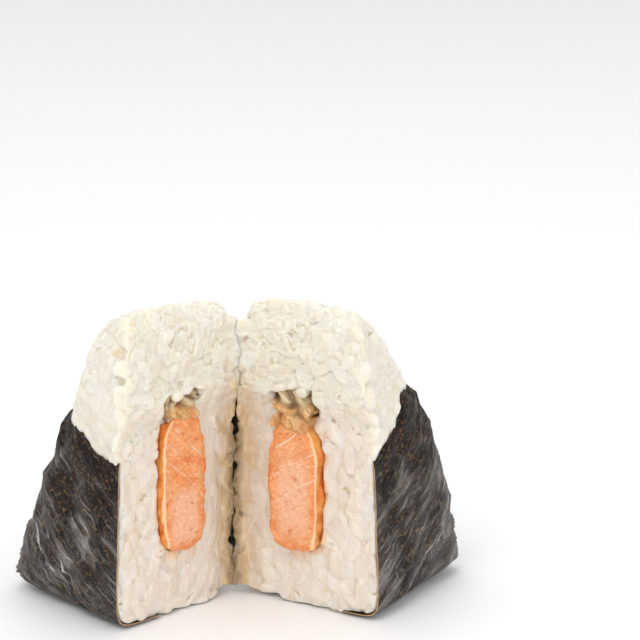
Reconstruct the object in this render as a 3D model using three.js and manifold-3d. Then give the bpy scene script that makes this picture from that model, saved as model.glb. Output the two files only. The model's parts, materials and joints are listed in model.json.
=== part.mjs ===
// A salmon onigiri, cut down its middle and opened like a book. Two halves of pressed rice stand on
// their base with the cut faces forward, each with its half of the salmon and of the fish's grey
// belly skin. One sheet of nori wraps both halves and is their hinge, at the back.
// Millimetres, +Z up. The opening faces -Y. The origin is under the middle of the part's box.
import * as THREE from "three";
import { mergeVertices } from "three/addons/utils/BufferGeometryUtils.js";
import Module from "manifold-3d";

const wasm = await Module();
wasm.setup();

const { cos, sin, tan, PI, hypot, max, pow, abs, exp } = Math;
const { lerp, smoothstep, degToRad } = THREE.MathUtils;

// Driving dimensions of the whole onigiri, before it is cut.
// u runs out from the cut to a bottom corner, v from the back to the front, z up.
const HALF_WIDTH = 43.4; // from the cut to where side and base would meet in a sharp corner
const THICKNESS = 37.8; // from the back to the front, at the base
const HEIGHT = 74.2;
const SIDE_LEAN = degToRad(24.8); // how far the slanting sides lean in
const FRONT_LEAN = degToRad(2.8); // the front leans in a little too
const BASE_LIFT = 0.5; // the nori folded under clears the floor by this much
const MIDDLE = new THREE.Vector3(0, THICKNESS / 2, 27);

// Each half bulges a little in a place of its own: where, seen from the middle, in degrees round
// the half and up, how far that spreads and how far it stands out.
const BULGE = {
  left: { angle: 70, rise: 66, spread: degToRad(18), height: 2.0 },
  right: { angle: 25, rise: 14, spread: degToRad(34), height: 2.1 },
};

// How tightly edges are rounded: a higher number is a sharper edge.
const WALL_ROUNDING = 6.5;
const BASE_ROUNDING = 11;
const TOP_ROUNDING = 5.2;

// The opened book.
const HALF_OPENING = degToRad(52); // each cut face is turned this far from straight ahead
const HINGE = { x: -0.5, y: -2.3 }; // where the hinge stands
const HINGE_CLEARANCE = 0.15; // each half keeps this far from the middle plane

// Layers, counted inwards from the outer surface.
const NORI_THICKNESS = 0.55;
const LAYER_GAP = 0.3;
const CORE_INSET = 1.2; // the rice under its outermost grains

// The nori, in a half's grid of columns and rows.
const NORI_COLUMNS = 20;
const NORI_ROWS = 12;
const NORI_TUCK = 13; // how far it is folded under the base
const NORI_WAVE = 0.4;
const CREASE_FADE = degToRad(34); // nearer the hinge than this its lower edge rises to
const CREASE_FOOT = 8.5; // this height, where the two halves' rice still holds together

// Heights of the nori's top edge at places round a half: 90 degrees is the front at the cut,
// 0 the side and -90 the back at the cut, where the hinge is.
const NORI_TOP_AT = [90, 66, 48, 20, -30, -60, -90];
const NORI_TOP = { left: [39.4, 40.4, 44.2, 48.8, 52.5, 58, 62], right: [38.6, 43, 51, 52.8, 55, 58.5, 62] };

// A cooked short grain.
const GRAIN_LENGTH = 6.2;
const GRAIN_WIDTH = 3.4;
const GRAIN_DEPTH = 3.0;
const GRAIN_SIDES = 4;
const GRAIN_VARIATION = 0.12;
const GRAIN_RISE = 0.1; // its middle lies this far above the core's surface
const GRAIN_SPACING = 4.48;
const CUT_GRAIN_SPACING = 5.0;

// The knife's side of a half. The cut is flat below; above, the rice swells out over the salmon.
const CUT_CORE = 0.7; // the core under the grains lies this far behind the cut
const SWELL = 1.9;
const SWELL_START = 43;
const SWELL_FULL = 53; // at this height it has swollen all it does
const SWELL_END = 69;
const CROWN_ROUNDING = 9; // how far out from the cut its rounded top edge begins
const LIP = 1.1; // grains above the salmon stand this much further out
const BEYOND = 15; // how far cutting shapes reach past what they cut

// The salmon as it shows on each cut face, and the folded belly skin above it.
const SALMON = {
  left: { middle: 18.6, low: 15.6, high: 46.2, width: 12.8, proud: 2.5 },
  right: { middle: 16.3, low: 14.0, high: 43.0, width: 13.0, proud: 3.2 },
};
const BELLY = {
  left: { middle: 18.4, low: 46.5, high: 53.0, width: 12.2, proud: 1.9 },
  right: { middle: 15.9, low: 43.3, high: 52.4, width: 12.8, proud: 2.6 },
};
const SALMON_DEPTH = 21;
const BELLY_DEPTH = 12;
const SALMON_SEED = 21;
const SALMON_AROUND = 22;
const BELLY_FOLDS = 3;
const FOLD_AROUND = 14;
const SALMON_GAP = 0.4;
const BELLY_GAP = 1.1; // the folds lie loosely in a hollow

function plane(nu, nv, nz, u, v, z) {
  const normal = new THREE.Vector3(nu, nv, nz).normalize();
  return { normal, distance: normal.dot(new THREE.Vector3(u, v, z).sub(MIDDLE)) };
}

const WALLS = [
  plane(0, cos(FRONT_LEAN), sin(FRONT_LEAN), 0, THICKNESS, 0),
  plane(0, -1, 0, 0, 0, 0),
  plane(cos(SIDE_LEAN), 0, sin(SIDE_LEAN), HALF_WIDTH, 0, 0),
  plane(-cos(SIDE_LEAN), 0, sin(SIDE_LEAN), -HALF_WIDTH, 0, 0),
];
const BASE = plane(0, 0, -1, 0, 0, BASE_LIFT);
const TOP = plane(0, 0, 1, 0, 0, HEIGHT);

// 1 on the outer surface moved in by inset, less inside it and more outside.
function fullness(point, inset) {
  const x = point.clone().sub(MIDDLE);
  const reach = (side) => max(0, side.normal.dot(x)) / (side.distance - inset);
  const blend = (values, power) => pow(values.reduce((sum, value) => sum + pow(value, power), 0), 1 / power);
  const walls = blend(WALLS.map(reach), WALL_ROUNDING);
  return x.z < 0 ? blend([walls, reach(BASE)], BASE_ROUNDING) : blend([walls, reach(TOP)], TOP_ROUNDING);
}

// Seen from the middle: angle runs round the half, rise from straight down to straight up.
function towards(angle, rise) {
  return new THREE.Vector3(cos(angle) * cos(rise), sin(angle) * cos(rise), sin(rise));
}

function bulge(side, direction) {
  const { angle, rise, spread, height } = BULGE[side];
  const off = direction.angleTo(towards(degToRad(angle), degToRad(rise)));
  return height * exp(-pow(off / spread, 2));
}

// Where a ray from the middle meets a half's outer surface moved in by inset.
function surfacePoint(side, direction, inset) {
  const moved = inset - bulge(side, direction);
  let near = 0;
  let far = 120;
  for (let i = 0; i < 36; i++) {
    const half = (near + far) / 2;
    if (fullness(MIDDLE.clone().addScaledVector(direction, half), moved) < 1) near = half;
    else far = half;
  }
  return MIDDLE.clone().addScaledVector(direction, near);
}

function surfaceNormal(point, inset) {
  const step = 0.05;
  const slope = (axis) => {
    const d = new THREE.Vector3().setComponent(axis, step);
    return fullness(point.clone().add(d), inset) - fullness(point.clone().sub(d), inset);
  };
  return new THREE.Vector3(slope(0), slope(1), slope(2)).normalize();
}

// Numbers from 0 to 1 that are the same on every run.
function seeded(seed) {
  let state = seed >>> 0;
  return () => {
    state = (state + 0x6d2b79f5) >>> 0;
    let t = state;
    t = Math.imul(t ^ (t >>> 15), t | 1);
    t ^= t + Math.imul(t ^ (t >>> 7), t | 61);
    return ((t ^ (t >>> 14)) >>> 0) / 4294967296;
  };
}

function solidOf(geometry) {
  const bare = geometry.clone();
  bare.deleteAttribute("normal");
  bare.deleteAttribute("uv");
  const merged = mergeVertices(bare, 1e-4);
  return new wasm.Manifold(
    new wasm.Mesh({
      numProp: 3,
      vertProperties: new Float32Array(merged.attributes.position.array),
      triVerts: new Uint32Array(merged.index.array),
    }),
  );
}

// The largest closed shell of a solid: scraps fall away and sealed hollows are filled.
function largestShell(solid) {
  const { numProp, numVert, vertProperties, triVerts } = solid.getMesh();
  const parent = Array.from({ length: numVert }, (_, i) => i);
  const find = (i) => {
    while (parent[i] !== i) {
      parent[i] = parent[parent[i]];
      i = parent[i];
    }
    return i;
  };
  for (let t = 0; t < triVerts.length; t += 3) {
    parent[find(triVerts[t])] = find(triVerts[t + 1]);
    parent[find(triVerts[t + 1])] = find(triVerts[t + 2]);
  }
  const corner = (i) => new THREE.Vector3().fromArray(vertProperties, i * numProp);
  const volumes = new Map();
  for (let t = 0; t < triVerts.length; t += 3) {
    const root = find(triVerts[t]);
    const six = corner(triVerts[t]).dot(corner(triVerts[t + 1]).cross(corner(triVerts[t + 2])));
    volumes.set(root, (volumes.get(root) ?? 0) + six / 6);
  }
  const largest = [...volumes].sort((a, b) => b[1] - a[1])[0][0];
  const positions = [];
  for (let t = 0; t < triVerts.length; t += 3) {
    if (find(triVerts[t]) !== largest) continue;
    for (let k = 0; k < 3; k++) positions.push(...corner(triVerts[t + k]).toArray());
  }
  return triangles(positions);
}

function triangles(positions) {
  const geometry = new THREE.BufferGeometry();
  geometry.setAttribute("position", new THREE.Float32BufferAttribute(positions, 3));
  return mergeVertices(geometry, 1e-5);
}

// A closed outline in (u, z) swept along v over the whole thickness and more.
function sweepAlongV(outline) {
  const depth = THICKNESS + 2 * BEYOND;
  const sweep = new THREE.ExtrudeGeometry(outline, { depth, bevelEnabled: false, curveSegments: 5 });
  // The outline's x, y and the sweep's z become u, z and -v.
  const axes = new THREE.Matrix4().set(1, 0, 0, 0, 0, 0, -1, depth - BEYOND, 0, 1, 0, 0, 0, 0, 0, 1);
  return solidOf(sweep.applyMatrix4(axes));
}

// Everything on the kept side of the knife and above the floor. low is where the flat cut lies,
// high how much further out the swelling above it stands.
function knifeSide(low, high) {
  const out = low - SWELL - high;
  const halfway = (SWELL_START + SWELL_FULL) / 2;
  const crown = HEIGHT + 3;
  const far = HALF_WIDTH + BEYOND;
  const side = new THREE.Shape();
  side.moveTo(low, 0);
  side.lineTo(low, SWELL_START);
  side.bezierCurveTo(low, halfway, out, halfway, out, SWELL_FULL);
  side.bezierCurveTo(out, SWELL_END, 1 - high, HEIGHT - 3 + high, CROWN_ROUNDING - high, crown);
  side.lineTo(far, crown);
  side.lineTo(far, 0);
  side.closePath();
  return sweepAlongV(side);
}

// Everything on a half's own side of the middle plane, which passes through the hinge.
function ownSide() {
  const size = 4 * HEIGHT;
  const box = new THREE.BoxGeometry(size, size, size);
  box.translate(size / 2 + HINGE_CLEARANCE, 0, 0);
  box.rotateZ(PI / 2 - HALF_OPENING);
  return solidOf(box);
}

// The whole onigiri before the cut, its surface moved in by inset.
function wholeRice(side, inset) {
  const unit = new THREE.IcosahedronGeometry(1, 8);
  const ball = mergeVertices(unit.deleteAttribute("normal").deleteAttribute("uv"));
  const position = ball.attributes.position;
  for (let i = 0; i < position.count; i++) {
    const direction = new THREE.Vector3().fromBufferAttribute(position, i).normalize();
    const point = surfacePoint(side, direction, inset);
    position.setXYZ(i, point.x, point.y, point.z);
  }
  return solidOf(ball);
}

// The bare rice that stands on the floor, inside the nori's fold.
function foot() {
  const reach = { u: 26, front: 26, back: 12 };
  const corner = 5;
  const past = 3;
  const bevel = 1.5;
  const outline = new THREE.Shape();
  outline.moveTo(-past, reach.back);
  outline.lineTo(reach.u - corner, reach.back);
  outline.lineTo(reach.u, reach.back + corner);
  outline.lineTo(reach.u, reach.front - corner);
  outline.lineTo(reach.u - corner, reach.front);
  outline.lineTo(-past, reach.front);
  outline.closePath();
  const block = new THREE.ExtrudeGeometry(outline, {
    depth: 4,
    bevelThickness: bevel,
    bevelSize: bevel,
    bevelOffset: -bevel,
    bevelSegments: 1,
  });
  return solidOf(block.translate(0, 0, bevel));
}

function noriTop(side, angle) {
  const heights = NORI_TOP[side];
  const degrees = THREE.MathUtils.radToDeg(angle);
  let k = 0;
  while (k < NORI_TOP_AT.length - 2 && degrees < NORI_TOP_AT[k + 1]) k++;
  const share = (NORI_TOP_AT[k] - degrees) / (NORI_TOP_AT[k] - NORI_TOP_AT[k + 1]);
  return lerp(heights[k], heights[k + 1], smoothstep(share, 0, 1));
}

function bisect(low, high, isLow) {
  for (let i = 0; i < 24; i++) {
    const half = (low + high) / 2;
    if (isLow(half)) low = half;
    else high = half;
  }
  return low;
}

const distanceOut = (point) => hypot(point.x, point.y - MIDDLE.y);

// count + 1 values from first to last, spaced evenly along the line that pointAt draws.
function spaced(first, last, count, pointAt) {
  const samples = 120;
  const values = [first];
  const lengths = [0];
  let before = pointAt(first);
  for (let i = 1; i <= samples; i++) {
    values.push(lerp(first, last, i / samples));
    const here = pointAt(values[i]);
    lengths.push(lengths[i - 1] + here.distanceTo(before));
    before = here;
  }
  const chosen = [];
  let k = 0;
  for (let i = 0; i <= count; i++) {
    const target = (lengths[samples] * i) / count;
    while (k < samples - 1 && lengths[k + 1] < target) k++;
    chosen.push(lerp(values[k], values[k + 1], (target - lengths[k]) / (lengths[k + 1] - lengths[k])));
  }
  return chosen;
}

// Where the nori's columns stand round a half, alike for both halves.
const COLUMN_RISE = -0.1;
const COLUMN_ANGLES = spaced(PI / 2, -PI / 2, NORI_COLUMNS, (angle) =>
  surfacePoint("left", towards(angle, COLUMN_RISE), 0),
);

// The rises of a nori column's rows, from its edge under the base to its top edge.
function rowRises(side, angle) {
  const at = (rise) => surfacePoint(side, towards(angle, rise), 0);
  const corner = bisect(-PI / 2, 0, (rise) => at(rise).z < CREASE_FOOT);
  const inside = distanceOut(at(corner)) - NORI_TUCK;
  const folded = bisect(-PI / 2, corner, (rise) => distanceOut(at(rise)) < inside);
  const first = lerp(corner, folded, smoothstep(angle + PI / 2, 0, CREASE_FADE));
  const last = bisect(corner, PI / 2, (rise) => at(rise).z < noriTop(side, angle));
  return spaced(first, last, NORI_ROWS, at);
}

// Shallow crossing creases, strongest on the walls, none at the hinge and under the base.
function noriWave(side, angle, z) {
  const phase = side === "left" ? 0.4 : 2.1;
  const creases = sin(9 * angle + 0.35 * z + phase) + sin(15 * angle - 0.27 * z + 2 * phase);
  const fade = smoothstep(z, 1, 6) * smoothstep(angle + PI / 2, 0, CREASE_FADE);
  return (NORI_WAVE * fade * (2 + creases)) / 4;
}

// Rows of points on the outer surface moved in by inset, column after column from the front edge
// at the cut to the hinge. The last column lies on the middle plane. For cutting, grow moves the
// edge rows out, in radians, and past the first and last columns, in millimetres.
function noriGrid(side, inset, grow, past) {
  return COLUMN_ANGLES.map((angle, column) => {
    const rises = rowRises(side, angle);
    rises[0] -= grow;
    rises[NORI_ROWS] += grow;
    return rises.map((rise) => {
      const flat = surfacePoint(side, towards(angle, rise), inset);
      const point = surfacePoint(side, towards(angle, rise), inset - noriWave(side, angle, flat.z));
      if (column === 0) point.x = -past;
      if (column === NORI_COLUMNS) point.x = -point.y * tan(HALF_OPENING) - past;
      return point;
    });
  });
}

// A closed sheet between two grids of columns, both faces split into triangles alike.
function sheet(outer, inner) {
  const positions = [];
  const face = (a, b, c, d) => positions.push(...[a, b, c, a, c, d].flatMap((p) => p.toArray()));
  const columns = outer.length - 1;
  const rows = outer[0].length - 1;
  for (let i = 0; i < columns; i++) {
    for (let j = 0; j < rows; j++) {
      const [a, b, c, d] = [outer[i][j], outer[i][j + 1], outer[i + 1][j + 1], outer[i + 1][j]];
      const [e, f, g, h] = [inner[i][j], inner[i][j + 1], inner[i + 1][j + 1], inner[i + 1][j]];
      face(a, b, c, d);
      positions.push(...[e, g, f, e, h, g].flatMap((p) => p.toArray()));
    }
    face(outer[i][0], outer[i + 1][0], inner[i + 1][0], inner[i][0]);
    face(outer[i + 1][rows], outer[i][rows], inner[i][rows], inner[i + 1][rows]);
  }
  for (let j = 0; j < rows; j++) {
    face(outer[0][j + 1], outer[0][j], inner[0][j], inner[0][j + 1]);
    face(outer[columns][j], outer[columns][j + 1], inner[columns][j + 1], inner[columns][j]);
  }
  return triangles(positions);
}

// From a half's own frame to the part's: turned about the hinge, and the right one mirrored.
function opened(side) {
  const s = side === "left" ? -1 : 1;
  const c = cos(HALF_OPENING);
  const n = sin(HALF_OPENING);
  return new THREE.Matrix4().set(s * c, s * n, 0, HINGE.x, n, -c, 0, HINGE.y, 0, 0, 1, 0, 0, 0, 0, 1);
}

function inPlace(geometry, side) {
  const placed = geometry.clone().applyMatrix4(opened(side));
  if (side === "right") {
    const index = placed.index.array;
    for (let i = 0; i < index.length; i += 3) [index[i], index[i + 1]] = [index[i + 1], index[i]];
  }
  return placed;
}

function nori() {
  const turned = (side, inset) => {
    const place = opened(side);
    return noriGrid(side, inset, 0, 0).map((rows) => rows.map((point) => point.applyMatrix4(place)));
  };
  const whole = (inset) => [...turned("left", inset), ...turned("right", inset).reverse().slice(1)];
  return sheet(whole(0), whole(NORI_THICKNESS));
}

// What the nori and the gap under it take from a half's rice.
function noriRoom(side) {
  const grow = 0.016; // radians: a little more than the gap, seen from the middle
  const inner = noriGrid(side, NORI_THICKNESS + LAYER_GAP, grow, 2);
  return solidOf(sheet(noriGrid(side, -5, grow, 2), inner));
}

// A piece of the filling: a block with ragged edges that stands proud of the cut rice.
function filling(size, depth, bevel, seed, around) {
  const block = new THREE.ExtrudeGeometry(raggedOutline(size, seed, around, 0), {
    depth: size.proud + depth - 2 * bevel,
    bevelThickness: bevel,
    bevelSize: bevel,
    bevelOffset: -bevel,
    bevelSegments: 2,
  });
  return block.applyMatrix4(outlineToCut(bevel - size.proud));
}

// What a piece of the filling and the gap round it take from the rice.
function pocket(size, depth, gap) {
  const outline = raggedOutline(size, SALMON_SEED, SALMON_AROUND, gap);
  const sweep = { depth: BEYOND + depth + gap, bevelEnabled: false };
  return solidOf(new THREE.ExtrudeGeometry(outline, sweep).applyMatrix4(outlineToCut(-BEYOND)));
}

// An outline's x, y and its sweep's z become v, z and u, from the given u on.
function outlineToCut(u) {
  return new THREE.Matrix4().set(0, 0, 1, u, 1, 0, 0, 0, 0, 1, 0, 0, 0, 0, 0, 1);
}

function raggedOutline(size, seed, around, grow) {
  const random = seeded(seed);
  const squareness = 4.5;
  const raggedness = 0.5;
  const half = { v: size.width / 2, z: (size.high - size.low) / 2 };
  const centre = { v: size.middle, z: (size.high + size.low) / 2 };
  const outline = new THREE.Shape();
  for (let i = 0; i < around; i++) {
    const angle = (2 * PI * i) / around;
    const reach = pow(pow(abs(cos(angle)), squareness) + pow(abs(sin(angle)), squareness), -1 / squareness);
    const change = grow - raggedness * random();
    const v = centre.v + (half.v + change) * cos(angle) * reach;
    const z = centre.z + (half.z + change) * sin(angle) * reach;
    if (i === 0) outline.moveTo(v, z);
    else outline.lineTo(v, z);
  }
  outline.closePath();
  return outline;
}

// Two tips and two rings, long along x.
function grain(random) {
  const vary = () => 1 + GRAIN_VARIATION * (2 * random() - 1);
  const half = { x: (GRAIN_LENGTH / 2) * vary(), y: (GRAIN_WIDTH / 2) * vary(), z: GRAIN_DEPTH / 2 };
  const ring = (x, k) => {
    const angle = (2 * PI * (k + 0.5)) / GRAIN_SIDES - PI / 2;
    return new THREE.Vector3(x, half.y * cos(angle), half.z * sin(angle));
  };
  const positions = [];
  const add = (...points) => positions.push(...points.flatMap((p) => p.toArray()));
  const shoulder = 0.52 * half.x;
  for (let k = 0; k < GRAIN_SIDES; k++) {
    const [a, b] = [ring(-shoulder, k), ring(-shoulder, k + 1)];
    const [d, c] = [ring(shoulder, k), ring(shoulder, k + 1)];
    add(a, b, c, a, c, d);
    add(b, a, new THREE.Vector3(-half.x, 0, 0));
    add(d, c, new THREE.Vector3(half.x, 0, 0));
  }
  return triangles(positions);
}

// A grain lying on a surface point, its long side turned by turn from straight up.
function layGrain(random, point, normal, turn) {
  const upward = new THREE.Vector3(0, 0, 1).addScaledVector(normal, -normal.z).normalize();
  const across = new THREE.Vector3().crossVectors(normal, upward);
  const long = upward.multiplyScalar(cos(turn)).addScaledVector(across, sin(turn));
  const wide = new THREE.Vector3().crossVectors(normal, long);
  const place = new THREE.Matrix4().makeBasis(long, wide, normal);
  return grain(random).applyMatrix4(place.setPosition(point));
}

// Grains over a half's bare dome and its cut face, none closer together than their spacing.
function grains(side) {
  const random = seeded(side === "left" ? 11 : 12);
  const seats = [];
  const free = (point, spacing) => seats.every((seat) => seat.distanceTo(point) > spacing);
  return [...domeGrains(side, random, seats, free), ...cutGrains(side, random, seats, free)];
}

function domeGrains(side, random, seats, free) {
  const laid = [];
  const aboveNori = 1.2;
  const crownStart = 62; // above this the dome's edge at the cut draws back
  for (let tries = 0; tries < 6000; tries++) {
    const rise = Math.asin(random());
    const angle = PI * (0.5 - random());
    const point = surfacePoint(side, towards(angle, rise), CORE_INSET - GRAIN_RISE);
    if (point.z < noriTop(side, angle) + aboveNori || point.x < (point.z - crownStart) / 2) continue;
    if (!free(point, GRAIN_SPACING)) continue;
    seats.push(point);
    laid.push(layGrain(random, point, surfaceNormal(point, CORE_INSET), PI * random()));
  }
  return laid;
}

function cutGrains(side, random, seats, free) {
  const laid = [];
  const { low, middle, width } = SALMON[side];
  const { high } = BELLY[side];
  const crownStart = SWELL_END - 6;
  const highest = HEIGHT - 5.5;
  for (let tries = 0; tries < 4000; tries++) {
    const v = THICKNESS * random();
    const z = highest * random();
    const drawnBack = CROWN_ROUNDING * pow(max(0, z - crownStart) / (HEIGHT - crownStart), 2);
    const swell = SWELL * smoothstep(z, SWELL_START, SWELL_FULL - 2) - drawnBack;
    const point = new THREE.Vector3(CUT_CORE - GRAIN_RISE - swell, v, z);
    if (fullness(new THREE.Vector3(0, v, z), CORE_INSET + 0.6) > 1) continue;
    if (abs(v - middle) < width / 2 && z > low && z < high - 3) continue;
    if (!free(point, CUT_GRAIN_SPACING)) continue;
    seats.push(point);
    // Below, the knife has drawn the grains upright.
    const spread = z < SWELL_START ? PI / 4 : PI;
    const out = new THREE.Vector3(-1, 0, drawnBack / CROWN_ROUNDING).normalize();
    laid.push(layGrain(random, point, out, spread * (random() - 0.5)));
  }
  return laid;
}

// Low at the hinge the rice fills the corner and meets the other half's.
function heel() {
  const proud = 1.3;
  const behind = 0.4;
  const size = { u: 6, v: 4.5, z: CREASE_FOOT - 1.5 };
  const box = new THREE.BoxGeometry(size.u, size.v, size.z);
  return solidOf(box.translate(size.u / 2 - proud, size.v / 2 - behind, size.z / 2 + 1.5));
}

function rice(side) {
  let heap = wholeRice(side, CORE_INSET).add(foot()).intersect(knifeSide(CUT_CORE, 0));
  for (const one of grains(side)) heap = heap.add(solidOf(one));
  heap = heap.intersect(knifeSide(0, LIP)).add(heel()).intersect(ownSide()).subtract(noriRoom(side));
  heap = heap.subtract(pocket(SALMON[side], SALMON_DEPTH, SALMON_GAP));
  heap = heap.subtract(pocket(BELLY[side], BELLY_DEPTH, BELLY_GAP));
  return largestShell(heap);
}

// The belly skin lies in folds, each of them a block of its own height and reach.
function folds(side) {
  const { low, high, middle, width, proud } = BELLY[side];
  const tall = (high - low) / BELLY_FOLDS;
  const overlap = 0.5;
  const random = seeded(side === "left" ? 31 : 32);
  let skin = null;
  for (let k = 0; k < BELLY_FOLDS; k++) {
    const size = {
      middle: middle + 1.2 * (random() - 0.5),
      low: low + k * tall - (k > 0 ? overlap : 0),
      high: low + (k + 1) * tall + (k < BELLY_FOLDS - 1 ? overlap : 0),
      width: width - 1.4 - random(),
      proud: proud - random(),
    };
    const fold = solidOf(filling(size, BELLY_DEPTH - 2 * random(), 0.5, 41 + k, FOLD_AROUND));
    skin = skin ? skin.add(fold) : fold;
  }
  return largestShell(skin);
}

function named(name, geometry, color, roughness) {
  const mesh = new THREE.Mesh(geometry, new THREE.MeshStandardMaterial({ color, roughness, metalness: 0 }));
  mesh.name = name;
  return mesh;
}

const onigiri = new THREE.Group();
onigiri.name = "onigiri";
onigiri.add(named("nori", nori(), 0x2b2a24, 0.55));
for (const side of ["left", "right"]) {
  onigiri.add(named(`rice_${side}`, inPlace(rice(side), side), 0xf1ecdd, 0.4));
  const salmon = mergeVertices(filling(SALMON[side], SALMON_DEPTH, 0.6, SALMON_SEED, SALMON_AROUND));
  onigiri.add(named(`salmon_${side}`, inPlace(salmon, side), 0xf0996c, 0.45));
  onigiri.add(named(`belly_${side}`, inPlace(folds(side), side), 0x9a8f78, 0.45));
}
export default onigiri;
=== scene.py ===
import json
import math

import bmesh
import bpy
import numpy as np
from mathutils import Matrix, Vector

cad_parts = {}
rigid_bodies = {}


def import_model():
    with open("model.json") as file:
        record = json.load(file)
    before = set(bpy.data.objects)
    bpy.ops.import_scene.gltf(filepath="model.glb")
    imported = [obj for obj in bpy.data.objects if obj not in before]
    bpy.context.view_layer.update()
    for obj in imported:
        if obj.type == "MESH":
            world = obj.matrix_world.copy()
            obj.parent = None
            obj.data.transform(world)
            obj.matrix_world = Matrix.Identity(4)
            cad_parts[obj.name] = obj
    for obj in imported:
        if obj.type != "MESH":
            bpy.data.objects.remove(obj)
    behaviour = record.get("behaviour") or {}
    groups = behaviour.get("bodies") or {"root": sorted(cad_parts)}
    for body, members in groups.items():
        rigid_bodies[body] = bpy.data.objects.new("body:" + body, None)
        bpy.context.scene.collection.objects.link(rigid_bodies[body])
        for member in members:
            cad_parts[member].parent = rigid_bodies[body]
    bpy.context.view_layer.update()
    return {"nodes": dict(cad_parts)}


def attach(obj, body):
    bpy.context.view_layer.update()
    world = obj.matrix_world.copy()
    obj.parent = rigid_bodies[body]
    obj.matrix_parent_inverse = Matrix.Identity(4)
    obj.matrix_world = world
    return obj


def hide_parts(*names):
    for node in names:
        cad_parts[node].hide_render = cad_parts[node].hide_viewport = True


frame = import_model()
NODES = frame["nodes"]
SIDES = ("left", "right")
METRES = 0.001  # one millimetre

# The uncut onigiri and how it is opened: the same dimensions as the solids have.
HALF_WIDTH = 43.4
THICKNESS = 37.8
HEIGHT = 74.2
SIDE_LEAN = math.radians(24.8)
FRONT_LEAN = math.radians(2.8)
BASE_LIFT = 0.5
MIDDLE = np.array([0, THICKNESS / 2, 27.0])
BULGE = {
    "left": {"angle": 70, "rise": 66, "spread": math.radians(18), "height": 2.0},
    "right": {"angle": 25, "rise": 14, "spread": math.radians(34), "height": 2.1},
}
WALL_ROUNDING = 6.5
BASE_ROUNDING = 11
TOP_ROUNDING = 5.2
HALF_OPENING = math.radians(52)
HINGE = np.array([-0.5, -2.3])
FRONT_LIMIT = -26.3  # no rice stands further forward

# The knife's side.
SWELL = 1.9
LIP = 1.1
SWELL_START = 43
SWELL_FULL = 53
SWELL_END = 69
CROWN_ROUNDING = 9

# The filling as it shows on each cut face.
SALMON = {
    "left": {"middle": 18.6, "low": 15.6, "high": 46.2, "width": 12.8, "proud": 2.5},
    "right": {"middle": 16.3, "low": 14.0, "high": 43.0, "width": 13.0, "proud": 3.2},
}
BELLY = {
    "left": {"middle": 18.4, "low": 46.5, "high": 53.0, "width": 12.2, "proud": 1.9},
    "right": {"middle": 15.9, "low": 43.3, "high": 52.4, "width": 12.8, "proud": 2.6},
}
SALMON_DEPTH = 21
BELLY_DEPTH = 12
IN_FRONT = -12  # where the tools that hollow the core start
SQUARENESS = 4.5
OUTLINE_POINTS = 48

# The nori sheet.
NORI_THICKNESS = 0.22
NORI_COLUMNS = 200
NORI_ROWS = 112
NORI_TUCK = 13
NORI_WAVE = 0.4
NORI_TURNS = {"left": 0.4, "right": 2.1}  # radians by which each half's waves are moved on
RIGHT_SPECKLE = 9  # mm into the speckles' pattern, so that the right half differs
RIM = 0.08  # the cut edge's colour reaches this far in
CREASE_FADE = math.radians(34)
CREASE_FOOT = 8.5
NORI_TOP_AT = [90, 66, 48, 20, -30, -60, -90]
NORI_TOP = {"left": [39.4, 40.4, 44.2, 48.8, 52.5, 58, 62], "right": [38.6, 43, 51, 52.8, 55, 58.5, 62]}

# Cooked short grains and how they lie.
GRAIN = {"length": 6.3, "width": 3.8, "depth": 2.7}
GRAIN_VARIANTS = 5
GRAIN_SIDES = 8
GRAIN_RINGS = 5
GRAIN_POINTS = GRAIN_SIDES * GRAIN_RINGS + 2
GRAIN_TRIES = 16000
TOP_SPACING = 3.0
UNDER_SPACING = 2.2
TOP_LIFT = 0.6
UNDER_LIFT = -0.4
DOME_LIFT = -0.85
CORE_HEART = np.array([14, THICKNESS / 2, 28])
CORE_REACH = 120.0
CORE_HALVINGS = 30
CORE_ROUNDING = 0.4
CORE_INSET = 0.65
COVERED_INSET = 1.0  # the core under the nori, where no grains are laid
VOXEL = 0.3
RICE_TRIANGLES = 190000

# How mould and knife leave the skin of rice.
DOME_LEVEL = (0.55, 0.72)  # shares of the hollows filled and of the bumps pressed flat
LIP_LEVEL = (0.35, 0.65)  # the same on the knife's side above the filling
LEVEL_REACH = 3.5  # hollows are filled as if none were deeper
PETAL_SIZE = 2.9
PETAL_HEIGHT = 0.32
CRACK_DEPTH = 0.4
BORDER_DEPTH = 0.12
PIT_DEPTH = 0.7
GAP = 1.9  # how wide the gaps in the slit can get on each side

# The lens and where it stood in mm, worked out from the edges of the cut faces in the photo.
FOCAL_LENGTH = 157.28
CAMERA_PLACE = (-46.99, -606.72, 234.54)
CAMERA_YAW = math.radians(6.14)
CAMERA_PITCH = math.radians(15.62)
FLOOR_REACH = 6.0  # metres each way

# Kinds of node that are used often, each with its settings.
EASED = ("ShaderNodeMapRange", {"interpolation_type": "SMOOTHSTEP"})
TIMES = ("ShaderNodeMath", {"operation": "MULTIPLY"})
TIMES_PLUS = ("ShaderNodeMath", {"operation": "MULTIPLY_ADD"})
LARGER = ("ShaderNodeMath", {"operation": "MAXIMUM"})


def smoothstep(x, low, high):
    """From 0 at low to 1 at high, with a smooth start and end."""
    t = np.clip((np.asarray(x, float) - low) / (high - low), 0, 1)
    return t * t * (3 - 2 * t)


def unit(vectors):
    return vectors / np.linalg.norm(vectors, axis=-1, keepdims=True)


def plane(normal, point):
    """A flat face of the uncut onigiri: its outward normal and how far it lies from the middle."""
    n = unit(np.array(normal, float))
    return n, float(n @ (np.array(point) - MIDDLE))


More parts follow.
